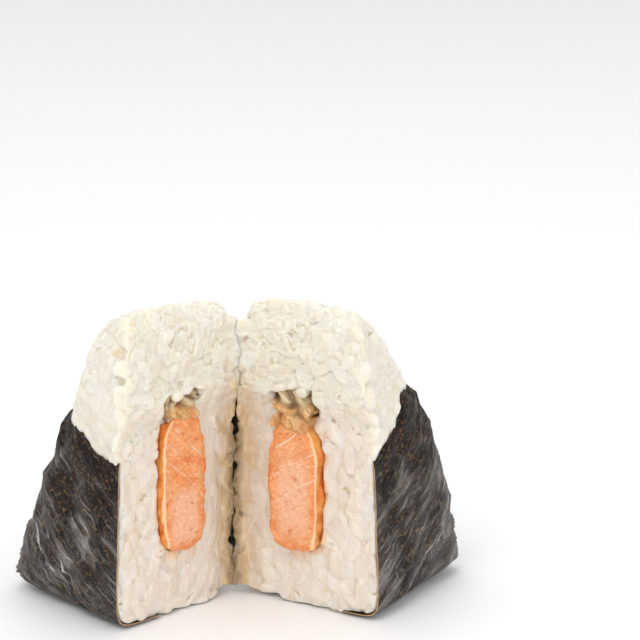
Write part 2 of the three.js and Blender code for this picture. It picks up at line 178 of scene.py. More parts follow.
WALLS = [
    plane((0, math.cos(FRONT_LEAN), math.sin(FRONT_LEAN)), (0, THICKNESS, 0)),
    plane((0, -1, 0), (0, 0, 0)),
    plane((math.cos(SIDE_LEAN), 0, math.sin(SIDE_LEAN)), (HALF_WIDTH, 0, 0)),
    plane((-math.cos(SIDE_LEAN), 0, math.sin(SIDE_LEAN)), (-HALF_WIDTH, 0, 0)),
]
BASE = plane((0, 0, -1), (0, 0, BASE_LIFT))
TOP = plane((0, 0, 1), (0, 0, HEIGHT))


def fullness(x, inset):
    """1 on the outer surface moved in by inset; x is counted from the middle."""

    def reach(side):
        return np.maximum(0, x @ side[0]) / (side[1] - inset)

    def blend(values, power):
        return sum(v**power for v in values) ** (1 / power)

    walls = blend([reach(side) for side in WALLS], WALL_ROUNDING)
    low = blend([walls, reach(BASE)], BASE_ROUNDING)
    high = blend([walls, reach(TOP)], TOP_ROUNDING)
    return np.where(x[..., 2] < 0, low, high)


def towards(angle, rise):
    """Directions at an angle round the half and a rise above level."""
    return np.stack([np.cos(angle) * np.cos(rise), np.sin(angle) * np.cos(rise), np.sin(rise)], -1)


def bulge(side, directions):
    """How far a half swells past the flat faces in each direction."""
    b = BULGE[side]
    centre = towards(math.radians(b["angle"]), math.radians(b["rise"]))
    off = np.arccos(np.clip(directions @ centre, -1, 1))
    return b["height"] * np.exp(-((off / b["spread"]) ** 2))


def surface(side, directions, inset):
    """Where rays from the middle meet a half's outer surface moved in by inset."""
    moved = inset - bulge(side, directions)
    return MIDDLE + directions / fullness(directions, moved)[..., None]


def above_surface(side, points, inset):
    """How far points lie outside the surface moved in by inset, along their rays from the middle."""
    x = points - MIDDLE
    r = np.linalg.norm(x, axis=-1) + 1e-9
    return r - 1 / fullness(x / r[..., None], inset - bulge(side, x / r[..., None]))


def bezier(a, b, c, d, count):
    t = np.linspace(0, 1, count)[:, None]
    a, b, c, d = (np.array(p, float) for p in (a, b, c, d))
    return a * (1 - t) ** 3 + 3 * b * t * (1 - t) ** 2 + 3 * c * t * t * (1 - t) + d * t**3


def knife_profile():
    """The cut side seen edge on, as u and z from the floor up: it swells above the filling."""
    out = -SWELL - LIP
    halfway = (SWELL_START + SWELL_FULL) / 2
    crown = HEIGHT + 3
    swell = bezier((0, SWELL_START), (0, halfway), (out, halfway), (out, SWELL_FULL), 12)
    over = bezier(
        (out, SWELL_FULL), (out, SWELL_END), (1 - LIP, HEIGHT - 3 + LIP), (CROWN_ROUNDING - LIP, crown), 24
    )
    return np.concatenate([[(0, 0)], swell, over[1:]])


KNIFE = knife_profile()


def cut_at(v, z):
    """Where the finished cut side stands, in u. By the hinge the two halves swell towards each other."""
    meeting = (1.9 + 1.4 * smoothstep(-z, -11, -7)) * smoothstep(-v, -5.5, -1.2)
    return np.interp(z, KNIFE[:, 1], KNIFE[:, 0]) - meeting


def nori_top(side, angle):
    """How high the nori's top edge stands at each angle round a half."""
    degrees = np.degrees(angle)
    at, heights = np.array(NORI_TOP_AT, float), np.array(NORI_TOP[side], float)
    k = np.clip(np.searchsorted(-at, -degrees) - 1, 0, len(at) - 2)
    share = smoothstep((at[k] - degrees) / (at[k] - at[k + 1]), 0, 1)
    return heights[k] + (heights[k + 1] - heights[k]) * share


# What scrambles a cell's place into its random value, 32 bits at a time.
LOW_BITS = np.uint64(2**32 - 1)
CELL_PRIMES = (73856093, 19349663, 83492791)
SCRAMBLE = ((15, 2246822519), (13, 3266489917))


def noise(points, size, seed):
    """Smooth random values from -1 to 1 that change over about size millimetres."""
    p = np.asarray(points, float) / size + seed * 17.31
    cell = np.floor(p).astype(np.int64)
    f = p - cell
    f = f * f * f * (f * (f * 6 - 15) + 10)
    total = 0
    for corner in np.ndindex(*(2,) * p.shape[-1]):
        c = cell + np.array(corner)
        h = np.zeros(p.shape[:-1], np.uint64) + np.uint64(seed * 2654435761 % 2**32)
        for k, prime in zip(range(p.shape[-1]), CELL_PRIMES):
            h = (h ^ (c[..., k].astype(np.uint64) * np.uint64(prime))) & LOW_BITS
        for shift, factor in SCRAMBLE:
            h = (h ^ (h >> np.uint64(shift))) * np.uint64(factor) & LOW_BITS
        value = ((h ^ (h >> np.uint64(16))) & LOW_BITS).astype(float) / 2**32
        weight = np.prod(np.where(np.array(corner), f, 1 - f), axis=-1)
        total = total + value * weight
    return 2 * total - 1


def seam_drift(z):
    """How far right of the middle plane the slit between the halves stands at each height."""
    wander = 0.3 * noise(z[..., None], 6.0, 63) + 0.16 * noise(z[..., None], 2.2, 64)
    return wander - 0.35 - 1.35 * smoothstep(-z, -60, -15)


def gap_at(z):
    """How far each half keeps from the middle plane: small gaps here and there, none at the foot."""
    slits = np.maximum(0, 0.8 * noise(z[..., None], 2.6, 61) + 0.7 * noise(z[..., None], 0.9, 62) - 0.1)
    return GAP * slits * smoothstep(z, 8.5, 12) * (1 - 0.4 * smoothstep(z, 50, 58))


def opened(side, points):
    """From a half's own frame to the part's, with the slit between the halves drifting a little."""
    s = -1 if side == "left" else 1
    c, n = math.cos(HALF_OPENING), math.sin(HALF_OPENING)
    u, v, z = points[..., 0], points[..., 1], points[..., 2]
    x = s * (c * u + n * v)
    x = x + seam_drift(z) * smoothstep(-np.abs(x), -8.0, -1.0)
    return np.stack([x + HINGE[0], n * u - c * v + HINGE[1], z], -1)


def closed(side, points):
    """From the part's frame back to a half's own."""
    s = -1 if side == "left" else 1
    c, n = math.cos(HALF_OPENING), math.sin(HALF_OPENING)
    x, y = s * (points[..., 0] - HINGE[0]), points[..., 1] - HINGE[1]
    return np.stack([c * x + n * y, n * x - c * y, points[..., 2]], -1)


# Meshes


def mesh_of(name, points, faces):
    mesh = bpy.data.meshes.new(name)
    mesh.from_pydata([tuple(p) for p in points], [], [tuple(int(i) for i in f) for f in faces])
    mesh.update()
    return mesh


def put(name, mesh):
    obj = bpy.data.objects.new(name, mesh)
    bpy.context.scene.collection.objects.link(obj)
    return obj


def points_of(mesh):
    co = np.zeros(len(mesh.vertices) * 3, np.float32)
    mesh.vertices.foreach_get("co", co)
    return co.reshape(-1, 3).astype(float)


def move_points(mesh, points):
    mesh.vertices.foreach_set("co", np.asarray(points, np.float32).ravel())
    mesh.update()


def normals_of(mesh):
    n = np.zeros(len(mesh.vertices) * 3, np.float32)
    mesh.vertices.foreach_get("normal", n)
    return n.reshape(-1, 3).astype(float)


def faces_of(mesh):
    mesh.calc_loop_triangles()
    t = np.zeros(len(mesh.loop_triangles) * 3, np.int32)
    mesh.loop_triangles.foreach_get("vertices", t)
    return t.reshape(-1, 3)


def smoothed(mesh, points, times, share):
    """Points drawn towards the middle of their neighbours, each by its share."""
    ends = np.zeros(len(mesh.edges) * 2, np.int32)
    mesh.edges.foreach_get("vertices", ends)
    a, b = ends.reshape(-1, 2).T
    count = np.bincount(np.concatenate([a, b]), minlength=len(points))[:, None] + 1e-9
    for _ in range(times):
        total = [
            np.bincount(a, points[b, k], len(points)) + np.bincount(b, points[a, k], len(points))
            for k in range(3)
        ]
        points = points + 0.5 * share[:, None] * (np.stack(total, -1) / count - points)
    return points


def carry(mesh, **layers):
    """Gives the mesh named values at its points, for its material or for the nodes."""
    for name, values in layers.items():
        kind, field = ("FLOAT", "value") if np.ndim(values) == 1 else ("FLOAT_VECTOR", "vector")
        layer = mesh.attributes.new(name, kind, "POINT")
        layer.data.foreach_set(field, np.asarray(values, np.float32).ravel())


def with_modifiers(obj, *modifiers):
    """The object's mesh after these modifiers, each a kind and its settings. The object goes."""
    for kind, settings in modifiers:
        modifier = obj.modifiers.new(kind.lower(), kind)
        for key, value in settings.items():
            setattr(modifier, key, value)
    return evaluated(obj)


def evaluated(obj):
    """The mesh that an object's modifiers give. The object goes."""
    depsgraph = bpy.context.evaluated_depsgraph_get()
    mesh = bpy.data.meshes.new_from_object(obj.evaluated_get(depsgraph))
    bpy.data.objects.remove(obj)
    return mesh


def finished(name, mesh, side, material, slot, *nodes):
    """A mesh in a half's own frame becomes a piece that stands for these nodes."""
    if side:
        move_points(mesh, opened(side, points_of(mesh)))
        if side == "right":
            mesh.flip_normals()
    move_points(mesh, points_of(mesh) * METRES)
    mesh.polygons.foreach_set("use_smooth", np.ones(len(mesh.polygons), bool))
    mesh.materials.clear()
    mesh.materials.append(material)
    obj = put(name, mesh)
    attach(obj, "root")
    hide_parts(*nodes)
    return obj


def sphere_directions(levels):
    bm = bmesh.new()
    bmesh.ops.create_icosphere(bm, subdivisions=levels, radius=1)
    points = np.array([v.co[:] for v in bm.verts])
    faces = np.array([[v.index for v in f.verts] for f in bm.faces])
    bm.free()
    return unit(points), faces


def spans(size):
    """A filling's middle in v and z, and half its width and its height."""
    high, low = size["high"], size["low"]
    return size["middle"], (high + low) / 2, size["width"] / 2, (high - low) / 2


def outline(size, grow, count, seed):
    """Points round a filling's outline in v and z, a square with rounded corners and uneven sides."""
    angle = 2 * math.pi * np.arange(count) / count
    c, s = np.cos(angle), np.sin(angle)
    reach = (np.abs(c) ** SQUARENESS + np.abs(s) ** SQUARENESS) ** (-1 / SQUARENESS)
    change = grow - 0.25 + 0.25 * noise(np.stack([4 * c, 4 * s], -1), 1, seed)
    v, z, wide, tall = spans(size)
    return np.stack([v + (wide + change) * c * reach, z + (tall + change) * s * reach], -1)


def prism(name, around, start, end):
    """An outline in v and z swept along u."""
    n = len(around)
    points = [(u, v, z) for u in (start, end) for v, z in around]
    walls = [(i, (i + 1) % n, n + (i + 1) % n, n + i) for i in range(n)]
    mesh = mesh_of(name, points, walls + [tuple(range(n))[::-1], tuple(range(n, 2 * n))])
    return put(name, mesh)


def inside_filling(size, p, grow):
    """Below 1 inside a filling's outline, above 1 outside."""
    v, z, wide, tall = spans(size)
    across, up = np.abs(p[:, 1] - v) / (wide + grow), np.abs(p[:, 2] - z) / (tall + grow)
    return (across**SQUARENESS + up**SQUARENESS) ** (1 / SQUARENESS)


# Rice


def base_height(p):
    """How high the rice ends above the floor: ragged along the cut, arched by the seam."""
    by_cut = smoothstep(-p[..., 0], -7, -1)
    arch = 2.5 * smoothstep(-from_seam(p), -7.5, -1.5)
    ragged = 0.5 + 0.6 * noise(p[..., :2], 2.0, 65) + 0.5 * noise(p[..., :2], 0.9, 66)
    return by_cut * (arch + np.maximum(ragged, 0) * 0.6)


def smooth_max(a, b, radius):
    """The larger of two distances, with the edge between them rounded."""
    h = np.clip(0.5 + 0.5 * (a - b) / radius, 0, 1)
    return b + (a - b) * h + radius * h * (1 - h)


def core(side):
    """The rice under its outermost grains: a half, hollowed for the salmon and the belly skin."""
    directions, faces = sphere_directions(6)
    near, far = np.zeros(len(directions)), np.full(len(directions), CORE_REACH)
    # Each ray from the heart is halved again and again until it ends on the surface.
    for _ in range(CORE_HALVINGS):
        t = (near + far) / 2
        p = CORE_HEART + directions * t[:, None]
        behind = 0.75 + 0.25 * smoothstep(p[:, 2], SWELL_START, SWELL_FULL)
        knife = cut_at(p[:, 1], p[:, 2]) + behind - p[:, 0]
        rounding = 0.8 + 3 * smoothstep(p[:, 2], 48, 62)
        bare = smoothstep(p[:, 2] - nori_top(side, angle_of(p)), -3, 0)
        dents = 0.9 * smoothstep(noise(p, 1.7, 78) + 0.3 * noise(p, 6.0, 79), 0.45, 0.75)
        inset = COVERED_INSET + (CORE_INSET + dents - COVERED_INSET) * bare
        outside = smooth_max(above_surface(side, p, inset), knife, rounding)
        apart = gap_at(p[:, 2]) - 0.12
        outside = smooth_max(outside, apart - from_seam(p), CORE_ROUNDING)
        outside = smooth_max(outside, base_height(p) + 0.5 - p[:, 2], CORE_ROUNDING)
        near, far = np.where(outside < 0, t, near), np.where(outside < 0, far, t)
    shape = put("core", mesh_of("core", CORE_HEART + directions * near[:, None], faces))
    tools = [
        prism("hole", outline(SALMON[side], -0.5, OUTLINE_POINTS, 5), IN_FRONT, SALMON_DEPTH),
        prism("hollow", outline(BELLY[side], 0.3, OUTLINE_POINTS, 6), IN_FRONT, BELLY_DEPTH),
    ]
    cut = {"operation": "DIFFERENCE", "solver": "MANIFOLD"}
    mesh = with_modifiers(shape, *[("BOOLEAN", {**cut, "object": tool}) for tool in tools])
    for tool in tools:
        bpy.data.objects.remove(tool)
    return mesh


def angle_of(p):
    """The angle round a half, as the nori's top edge counts it."""
    return np.arctan2(p[..., 1] - MIDDLE[1], p[..., 0])


def behind_knife(p):
    """How far points lie behind the finished cut side."""
    return p[:, 0] - cut_at(p[:, 1], p[:, 2])


def from_seam(p):
    """How far points lie from the middle plane, where the two halves meet."""
    return math.cos(HALF_OPENING) * p[..., 0] + math.sin(HALF_OPENING) * p[..., 1]


def bare_base(p):
    """Where the rice stands on the floor inside the nori's fold."""
    u, v, z = p.T
    return (z < 6) & ((v < 27.5) & (u < 9) | (np.abs(v - 19) < 7) & (u < 26))


def where(side, p):
    """Which points of the core's surface show, which are cut face and which lie in the hollow."""
    salmon = inside_filling(SALMON[side], p, 0.3)
    belly = inside_filling(BELLY[side], p, 1.2)
    behind = behind_knife(p)
    in_hole = (salmon < 1) & (behind > 1.2)
    hollow = (belly < 1.1) & (behind > 1.8) & (behind < 9) & ~in_hole
    bare = (p[:, 2] > nori_top(side, angle_of(p)) - 2) & (~in_hole) & ((belly > 1.1) | (behind < 1.8))
    on_cut = (behind < 1.4) & (salmon > 0.97)
    edge = (behind < 2.4) & (belly > 1.1) & (salmon > 1)
    seam = (from_seam(p) < 2.5) & (p[:, 1] < 5)
    under = bare_base(p) & (behind < 6) & (p[:, 2] < 3)
    return bare | on_cut | edge | hollow | seam | under, on_cut | edge, hollow


def seats(side, mesh, seed):
    """Where grains lie on the core, spread evenly: their places, outward directions and layers,
    which are on the cut face, which in the hollow, and the random source for what follows."""
    rng = np.random.default_rng(seed)
    points, faces = points_of(mesh), faces_of(mesh)
    a, b, c = (points[faces[:, k]] for k in range(3))
    across = np.cross(b - a, c - a)
    area = np.linalg.norm(across, axis=1) / 2
    pick = rng.choice(len(faces), GRAIN_TRIES, p=area / area.sum())
    r = np.sqrt(rng.random(len(pick)))[:, None]
    s = rng.random(len(pick))[:, None]
    place = (1 - r) * a[pick] + r * (1 - s) * b[pick] + r * s * c[pick]
    out = unit(across[pick])
    shows, on_cut, hollow = where(side, place)
    chosen, layer = [], []
    for spacing, which in ((TOP_SPACING, 0), (UNDER_SPACING, 1)):
        for i in np.flatnonzero(shows):
            if chosen and np.min(np.sum((place[chosen] - place[i]) ** 2, 1)) < spacing**2:
                continue
            chosen.append(i)
            layer.append(which)
    chosen, layer = np.array(chosen), np.array(layer)
    return place[chosen], out[chosen], layer, on_cut[chosen], hollow[chosen], rng


def climbing(side, rng):
    """Places round the salmon where grains climb its sides."""
    around = outline(SALMON[side], 0.9, 40, 5)
    keep = rng.random(len(around)) < 0.55
    v, z = around[keep].T
    v, z = v + rng.normal(0, 0.3, len(v)), z + rng.normal(0, 0.3, len(v))
    low = z < BELLY[side]["low"] - 1
    u = rng.uniform(-0.3, 0.6, len(v))
    return np.stack([u, v, z], -1)[low]


def bridging(rng):
    """Places at the top of the valley between the halves, where grains close it."""
    z = np.array([57.5, 59.5, 61.2, 62.4, 63.2, 63.6])
    ahead = np.array([4.2, 3.6, 3.0, 2.2, 1.4, 3.4])  # in front of the hinge
    apart = np.array([1.2, 1.0, 1.0, 0.9, 1.1, 1.8])
    c, n = math.cos(HALF_OPENING), math.sin(HALF_OPENING)
    return np.stack([c * apart - n * ahead, n * apart + c * ahead, z + rng.normal(0, 0.2, len(z))], -1)


def lie_down(side, mesh, seed):
    """The grains' middles as a mesh of points that carries each one's turn and size. With it come
    the middles and each grain's axes, scaled to 1 at its surface."""
    place, out, layer, on_cut, hollow, rng = seats(side, mesh, seed)
    small = climbing(side, rng)
    extra = np.concatenate([small, bridging(rng)])
    more = len(extra)
    place, out = np.concatenate([place, extra]), np.concatenate([out, np.tile([-1.0, 0, 0], (more, 1))])
    layer, on_cut = np.concatenate([layer, np.ones(more, int)]), np.concatenate([on_cut, np.ones(more, bool)])
    hollow = np.concatenate([hollow, np.zeros(more, bool)])
    count = len(place)
    climbs = (np.arange(count) >= count - more) & (np.arange(count) < count - more + len(small))
    bridges = np.arange(count) >= count - more + len(small)
    under_nori = place[:, 2] < nori_top(side, angle_of(place)) - 0.2
    on_dome = ~on_cut & ~hollow & ~under_nori & (place[:, 0] > 0)
    lift = np.where(on_dome, DOME_LIFT, np.where(layer == 0, TOP_LIFT, UNDER_LIFT))
    lift += rng.normal(0, 0.28, count) - 0.9 * hollow
    lift += 1.2 * smoothstep(-place[:, 1], -6, -2) * smoothstep(place[:, 2], 56, 62)
    lift = np.where(under_nori & ~on_cut, np.minimum(lift, UNDER_LIFT), lift)
    lift = np.where(climbs | bridges, 0, lift)
    drawn = on_cut & (place[:, 2] < SWELL_START + 3) & ~climbs
    turn_free = rng.random(count) * math.pi
    turn = np.where(drawn, rng.normal(0, 0.45, count), turn_free)
    tilt = rng.normal(0, 0.2, count) * np.where(drawn, 0.4, 1)
    eulers, bases = [], []
    for k in range(count):
        n = Vector(out[k])
        up = Vector((0, 0, 1)) - n * n.z
        up = up.normalized() if up.length > 0.05 else n.orthogonal().normalized()
        long = up * math.cos(turn[k]) + n.cross(up) * math.sin(turn[k])
        wide = n.cross(long)
        long = (long * math.cos(tilt[k]) + n * math.sin(tilt[k])).normalized()
        across = Matrix((long, wide, long.cross(wide)))
        bases.append(across)
        eulers.append(tuple(across.transposed().to_euler()))
    middle = place + out * lift[:, None]
    points = mesh_of("seats", middle, [])
    stretch = np.where(drawn, 1.35, 1.0)
    size = np.stack([stretch, np.ones(count), np.ones(count)], -1) * (1 + rng.normal(0, 0.08, (count, 3)))
    size = np.clip(size, 0.75, 1.45) * np.where(climbs, 0.5, np.where(bridges, 0.75, 1))[:, None]
    carry(points, turn=np.array(eulers), size=size)
    reach = size * np.array([GRAIN["length"], GRAIN["width"], GRAIN["depth"]]) / 2
    return points, middle, np.array(bases) / reach[..., None]


def nearest_grains(p, middle, axes):
    """The grain that each point lies in or by, and how much further out it lies in the next one."""
    turned = axes.reshape(-1, 3).T.astype(np.float32)
    start = np.einsum("gij,gj->gi", axes, middle).ravel().astype(np.float32)
    held, spare = [], []
    for part in np.array_split(p.astype(np.float32), len(p) // 8000 + 1):
        level = np.sqrt(((part @ turned - start).reshape(len(part), -1, 3) ** 2).sum(2))
        least = np.partition(level, 1, axis=1)[:, :2]
        held.append(level.argmin(1))
        spare.append(least[:, 1] - least[:, 0])
    return np.concatenate(held), np.concatenate(spare)


def ring(i, j):
    """The index of a grain's point j round its ring i."""
    return 1 + i * GRAIN_SIDES + j % GRAIN_SIDES


def grain_shapes():
    """Unit grains, one unit from the middle to each tip: plump, a little bent, narrower to one end."""
    rng = np.random.default_rng(5)
    shapes = bpy.data.collections.new("grain_shapes")
    for k in range(GRAIN_VARIANTS):
        bend, narrow, notch = rng.uniform(0.02, 0.16), rng.uniform(0.0, 0.2), rng.uniform(0, 0.12)
        stations = -np.cos(np.linspace(0, math.pi, GRAIN_RINGS + 2))[1:-1]
        points = [(-1, 0, -bend)]
        for x in stations:
            radius = (1 - abs(x) ** 2.5) ** (1 / 2.1) * (1 - narrow * x)
            for j in range(GRAIN_SIDES):
                a = 2 * math.pi * j / GRAIN_SIDES
                dent = 1 - notch * max(0, math.cos(a)) ** 2 * (x > 0.3)
                points.append((x, radius * dent * math.cos(a), radius * math.sin(a) - bend * x * x))
        points.append((1, 0, -bend))
        last = len(points) - 1
        faces = [(0, ring(0, j + 1), ring(0, j)) for j in range(GRAIN_SIDES)]
        faces += [
            (ring(i, j), ring(i, j + 1), ring(i + 1, j + 1), ring(i + 1, j))
            for i in range(GRAIN_RINGS - 1)
            for j in range(GRAIN_SIDES)
        ]
        faces += [(last, ring(GRAIN_RINGS - 1, j), ring(GRAIN_RINGS - 1, j + 1)) for j in range(GRAIN_SIDES)]
        shapes.objects.link(bpy.data.objects.new(f"grain_{k}", mesh_of("grain", points, faces)))
    return shapes


def add(tree, kind, settings=None, inputs=()):
    """A node of this kind. Its inputs come by name or in order. Each gets a value, or a link if it
    is given an output, or a node, which stands for its first output."""
    node = tree.nodes.new(kind)
    for key, value in (settings or {}).items():
        setattr(node, key, value)
    for key, value in inputs.items() if isinstance(inputs, dict) else enumerate(inputs):
        if isinstance(value, bpy.types.Node):
            value = value.outputs[0]
        if isinstance(value, bpy.types.NodeSocket):
            tree.links.new(value, node.inputs[key])
        else:
            node.inputs[key].default_value = value
    return node


def grain_tree(material):
    """Geometry Nodes: a grain on each point, picked, sized and turned, then made real."""
    tree = bpy.data.node_groups.new("laid_grains", "GeometryNodeTree")
    socket = tree.interface.new_socket
    socket("Geometry", in_out="INPUT", socket_type="NodeSocketGeometry")
    sockets = {"Shapes": "Collection", "Length": "Float", "Width": "Float", "Depth": "Float", "Seed": "Int"}
    ids = {
        name: socket(name, in_out="INPUT", socket_type=f"NodeSocket{kind}").identifier
        for name, kind in sockets.items()
    }
    socket("Geometry", in_out="OUTPUT", socket_type="NodeSocketGeometry")
    given = add(tree, "NodeGroupInput").outputs
    children = {"Collection": given["Shapes"], "Separate Children": True, "Reset Children": True}
    shapes = add(tree, "GeometryNodeCollectionInfo", {}, children)
    turn, size = (
        add(tree, "GeometryNodeInputNamedAttribute", {"data_type": "FLOAT_VECTOR"}, {"Name": name})
        for name in ("turn", "size")
    )
    usual = add(tree, "ShaderNodeCombineXYZ", {}, (given["Length"], given["Width"], given["Depth"]))
    halved = add(tree, "ShaderNodeVectorMath", {"operation": "SCALE"}, {"Vector": usual, "Scale": 0.5})
    scale = add(tree, "ShaderNodeVectorMath", {"operation": "MULTIPLY"}, (halved, size))
    last_kind = {4: 0, 5: GRAIN_VARIANTS - 1, "Seed": given["Seed"]}
    kind = add(tree, "FunctionNodeRandomValue", {"data_type": "INT"}, last_kind)
    placing = {
        "Points": given["Geometry"],
        "Instance": shapes,
        "Pick Instance": True,
        "Instance Index": kind.outputs[2],
        "Rotation": add(tree, "FunctionNodeEulerToRotation", {}, (turn,)),
        "Scale": scale,
    }
    laid = add(tree, "GeometryNodeInstanceOnPoints", {}, placing)
    own = add(tree, "FunctionNodeRandomValue", {"data_type": "FLOAT"}, {"Seed": given["Seed"]})
    kept = add(
        tree,
        "GeometryNodeStoreNamedAttribute",
        {"data_type": "FLOAT", "domain": "INSTANCE"},
        {"Geometry": laid, "Name": "grain", "Value": own.outputs[1]},
    )
    real = add(tree, "GeometryNodeRealizeInstances", {}, {"Geometry": kept})
    done = add(tree, "GeometryNodeSetMaterial", {}, {"Geometry": real, "Material": material})
    add(tree, "NodeGroupOutput", {}, {"Geometry": done})
    return tree, ids


def lay_grains(points, tree, ids, shapes, seed):
    """Grains on these points, made real."""
    obj = put("grains", points)
    modifier = obj.modifiers.new("grains", "NODES")
    modifier.node_group = tree
    modifier[ids["Shapes"]] = shapes
    modifier[ids["Seed"]] = seed
    for name in ("Length", "Width", "Depth"):
        modifier[ids[name]] = GRAIN[name.lower()]
    return evaluated(obj)


def pressed(side, p, own, rng):
    """Grain points kept behind the knife, under the nori, off the floor and off the other half.
    The mould and the knife press each grain flat at its own height and slant."""
    grains = p.reshape(-1, GRAIN_POINTS, 3)
    slopes = rng.normal(0, 0.13, (len(grains), 1, 3))
    slant = np.sum((grains - grains.mean(1, keepdims=True)) * slopes, -1).ravel()
    p = p.copy()
    over = np.maximum(above_surface(side, p, 0.1) - 0.8 * (own - 0.5) - slant, 0)
    p -= unit(p - MIDDLE) * (0.85 * over * (p[:, 0] > 1))[:, None]
    softness = 0.1 + 0.1 * smoothstep(p[:, 2], SWELL_START, SWELL_FULL)
    limit = cut_at(p[:, 1], p[:, 2]) + 0.7 * (own - 0.6) + 0.9 * slant
    by_salmon = 1 - smoothstep(inside_filling(SALMON[side], p, 0), 1.0, 1.3)
    over = np.maximum(limit - p[:, 0], 0)
    p[:, 0] += over * (1 - softness) * (1 - 0.8 * by_salmon)
    covered = smoothstep(nori_top(side, angle_of(p)) + 0.3 - p[:, 2], 0, 0.8) * ~bare_base(p)
    over = np.maximum(above_surface(side, p, 0.65), 0) * covered
    p -= unit(p - MIDDLE) * over[:, None]
    size = SALMON[side]
    f = inside_filling(size, p, 0)
    push = np.where((f < 1) & (f > 0.5) & (p[:, 0] > -size["proud"] - 0.4), 1 / np.maximum(f, 0.5), 1)
    p[:, 1:] += (p[:, 1:] - spans(size)[:2]) * (push - 1)[:, None]
    gap = gap_at(p[:, 2]) + 0.5 * own**2 * smoothstep(p[:, 2], 8.5, 12) - 0.3
    over = np.maximum(gap - from_seam(p), 0)
    p[:, 0] += over * math.cos(HALF_OPENING)
    p[:, 1] += over * math.sin(HALF_OPENING)
    p[:, 2] = np.maximum(p[:, 2], 0.02 + base_height(p))
    return p


def petal_field(p, size, seed):
    """Uneven noise. A petal's edge is where it passes 0."""
    q = p + 0.5 * size * noise(p, size, seed)[:, None] * np.array([1, -1, 1])
    return noise(q, size, seed + 20)


def petals(p, size, seed):
    """Steps of about 1 with crisp, crooked edges, like those of squashed grains that overlap."""
    return smoothstep(petal_field(p, size, seed), -0.04, 0.04) - 0.5


def pits_at(p):
    """Small holes in the cut face, where grains came away."""
    q = p[:, 1:] + 1.1 * noise(p[:, 1:], 1.1, 44)[:, None] * np.array([1, -0.7])
    clusters = 0.35 * noise(p[:, 1:], 7.0, 45)
    return smoothstep(noise(q / np.array([1.6, 1.7]), 1, 43) + clusters, 0.9, 1.05)


def heap(side, tree, ids, shapes, seed):
    """One skin over a core and the grains laid and pressed on it. With it come the grains' middles
    and axes and a random value that each one carries."""
    base = core(side)
    points, middle, axes = lie_down(side, base, seed)
    grains = lay_grains(points, tree, ids, shapes, seed)
    own = np.zeros(len(grains.vertices), np.float32)
    grains.attributes["grain"].data.foreach_get("value", own)
    laid = pressed(side, points_of(grains), own, np.random.default_rng(seed + 20))
    points = np.concatenate([laid, points_of(base)])
    faces = [tuple(f.vertices) for f in grains.polygons]
    faces += [tuple(i + len(laid) for i in f.vertices) for f in base.polygons]
    skin = put("heap", mesh_of("heap", points, faces))
    mesh = with_modifiers(skin, ("REMESH", {"mode": "VOXEL", "voxel_size": VOXEL, "use_smooth_shade": True}))
    return mesh, middle, axes, own[::GRAIN_POINTS]


def finished_skin(side, mesh, p, spare):
    """The skin as mould and knife leave it, level, with the low relief of squashed grains. With it
    come its borders between grains, its pits and its crevices, each from 0 to 1."""
    low = smoothstep(-p[:, 2], -SWELL_FULL, -SWELL_START)
    behind = behind_knife(p)
    flat = smoothstep(1.2 - behind, 0, 0.6) * low
    pits = pits_at(p) * flat
    p = smoothed(mesh, p, 3, flat)
    depth = -above_surface(side, p, 0.3)
    on_dome = (1 - low) * (p[:, 0] > 0) * smoothstep(behind, 0.3, 2.0)
    crevice = smoothstep(depth, 0.7, 1.6) * on_dome
    filled, shaved = DOME_LEVEL
    levelled = np.where(depth > 0, filled * np.minimum(depth, LEVEL_REACH), shaved * depth)
    p += unit(p - MIDDLE) * (levelled * on_dome)[:, None]
    # The knife's side above the filling is levelled in the same way.
    on_lip = (1 - low) * (1 - smoothstep(behind, 1.0, 2.5)) * smoothstep(depth, 0.0, 1.0)
    on_lip *= smoothstep(inside_filling(BELLY[side], p, 0), 1.0, 1.25)
    filled, shaved = LIP_LEVEL
    p[:, 0] -= on_lip * np.where(behind > 0.2, filled, shaved) * (behind - 0.2)
    border = smoothstep(-spare, -0.16, -0.02) * smoothstep(noise(p, 3.2, 72), -0.5, 0.3)
    p[:, 0] += flat * (PIT_DEPTH * pits + BORDER_DEPTH * border)
    # Grains on the dome are squashed to overlapping petals with cracks along some of their edges.
    flakes = petals(p, PETAL_SIZE, 74) + 0.7 * petals(p, 1.6, 75)
    cracks = smoothstep(-np.abs(petal_field(p, PETAL_SIZE, 74)), -0.11, -0.02)
    cracks *= smoothstep(noise(p, 2.2, 80) + 0.3 * noise(p, 6.0, 81), 0.05, 0.5)
    relief = PETAL_HEIGHT * flakes - BORDER_DEPTH * border - CRACK_DEPTH * cracks
    p += unit(p - MIDDLE) * (relief * on_dome)[:, None]
    p[:, 0] -= relief * on_lip
    crevice = np.maximum(crevice, 0.9 * cracks * np.maximum(on_dome, on_lip))
    rough = 0.12 + 0.25 * (1 - smoothstep(from_seam(p), 1.0, 8.0))
    p[:, 0] -= flat * rough * petals(p / np.array([1, 1, 2.2]), 1.8, 76)
    p = smoothed(mesh, p, 1, np.full(len(p), 0.6))
    over = np.maximum(FRONT_LIMIT - opened(side, p)[:, 1], 0)
    p += over[:, None] * np.array([math.sin(HALF_OPENING), -math.cos(HALF_OPENING), 0])
    return p, border, pits, crevice


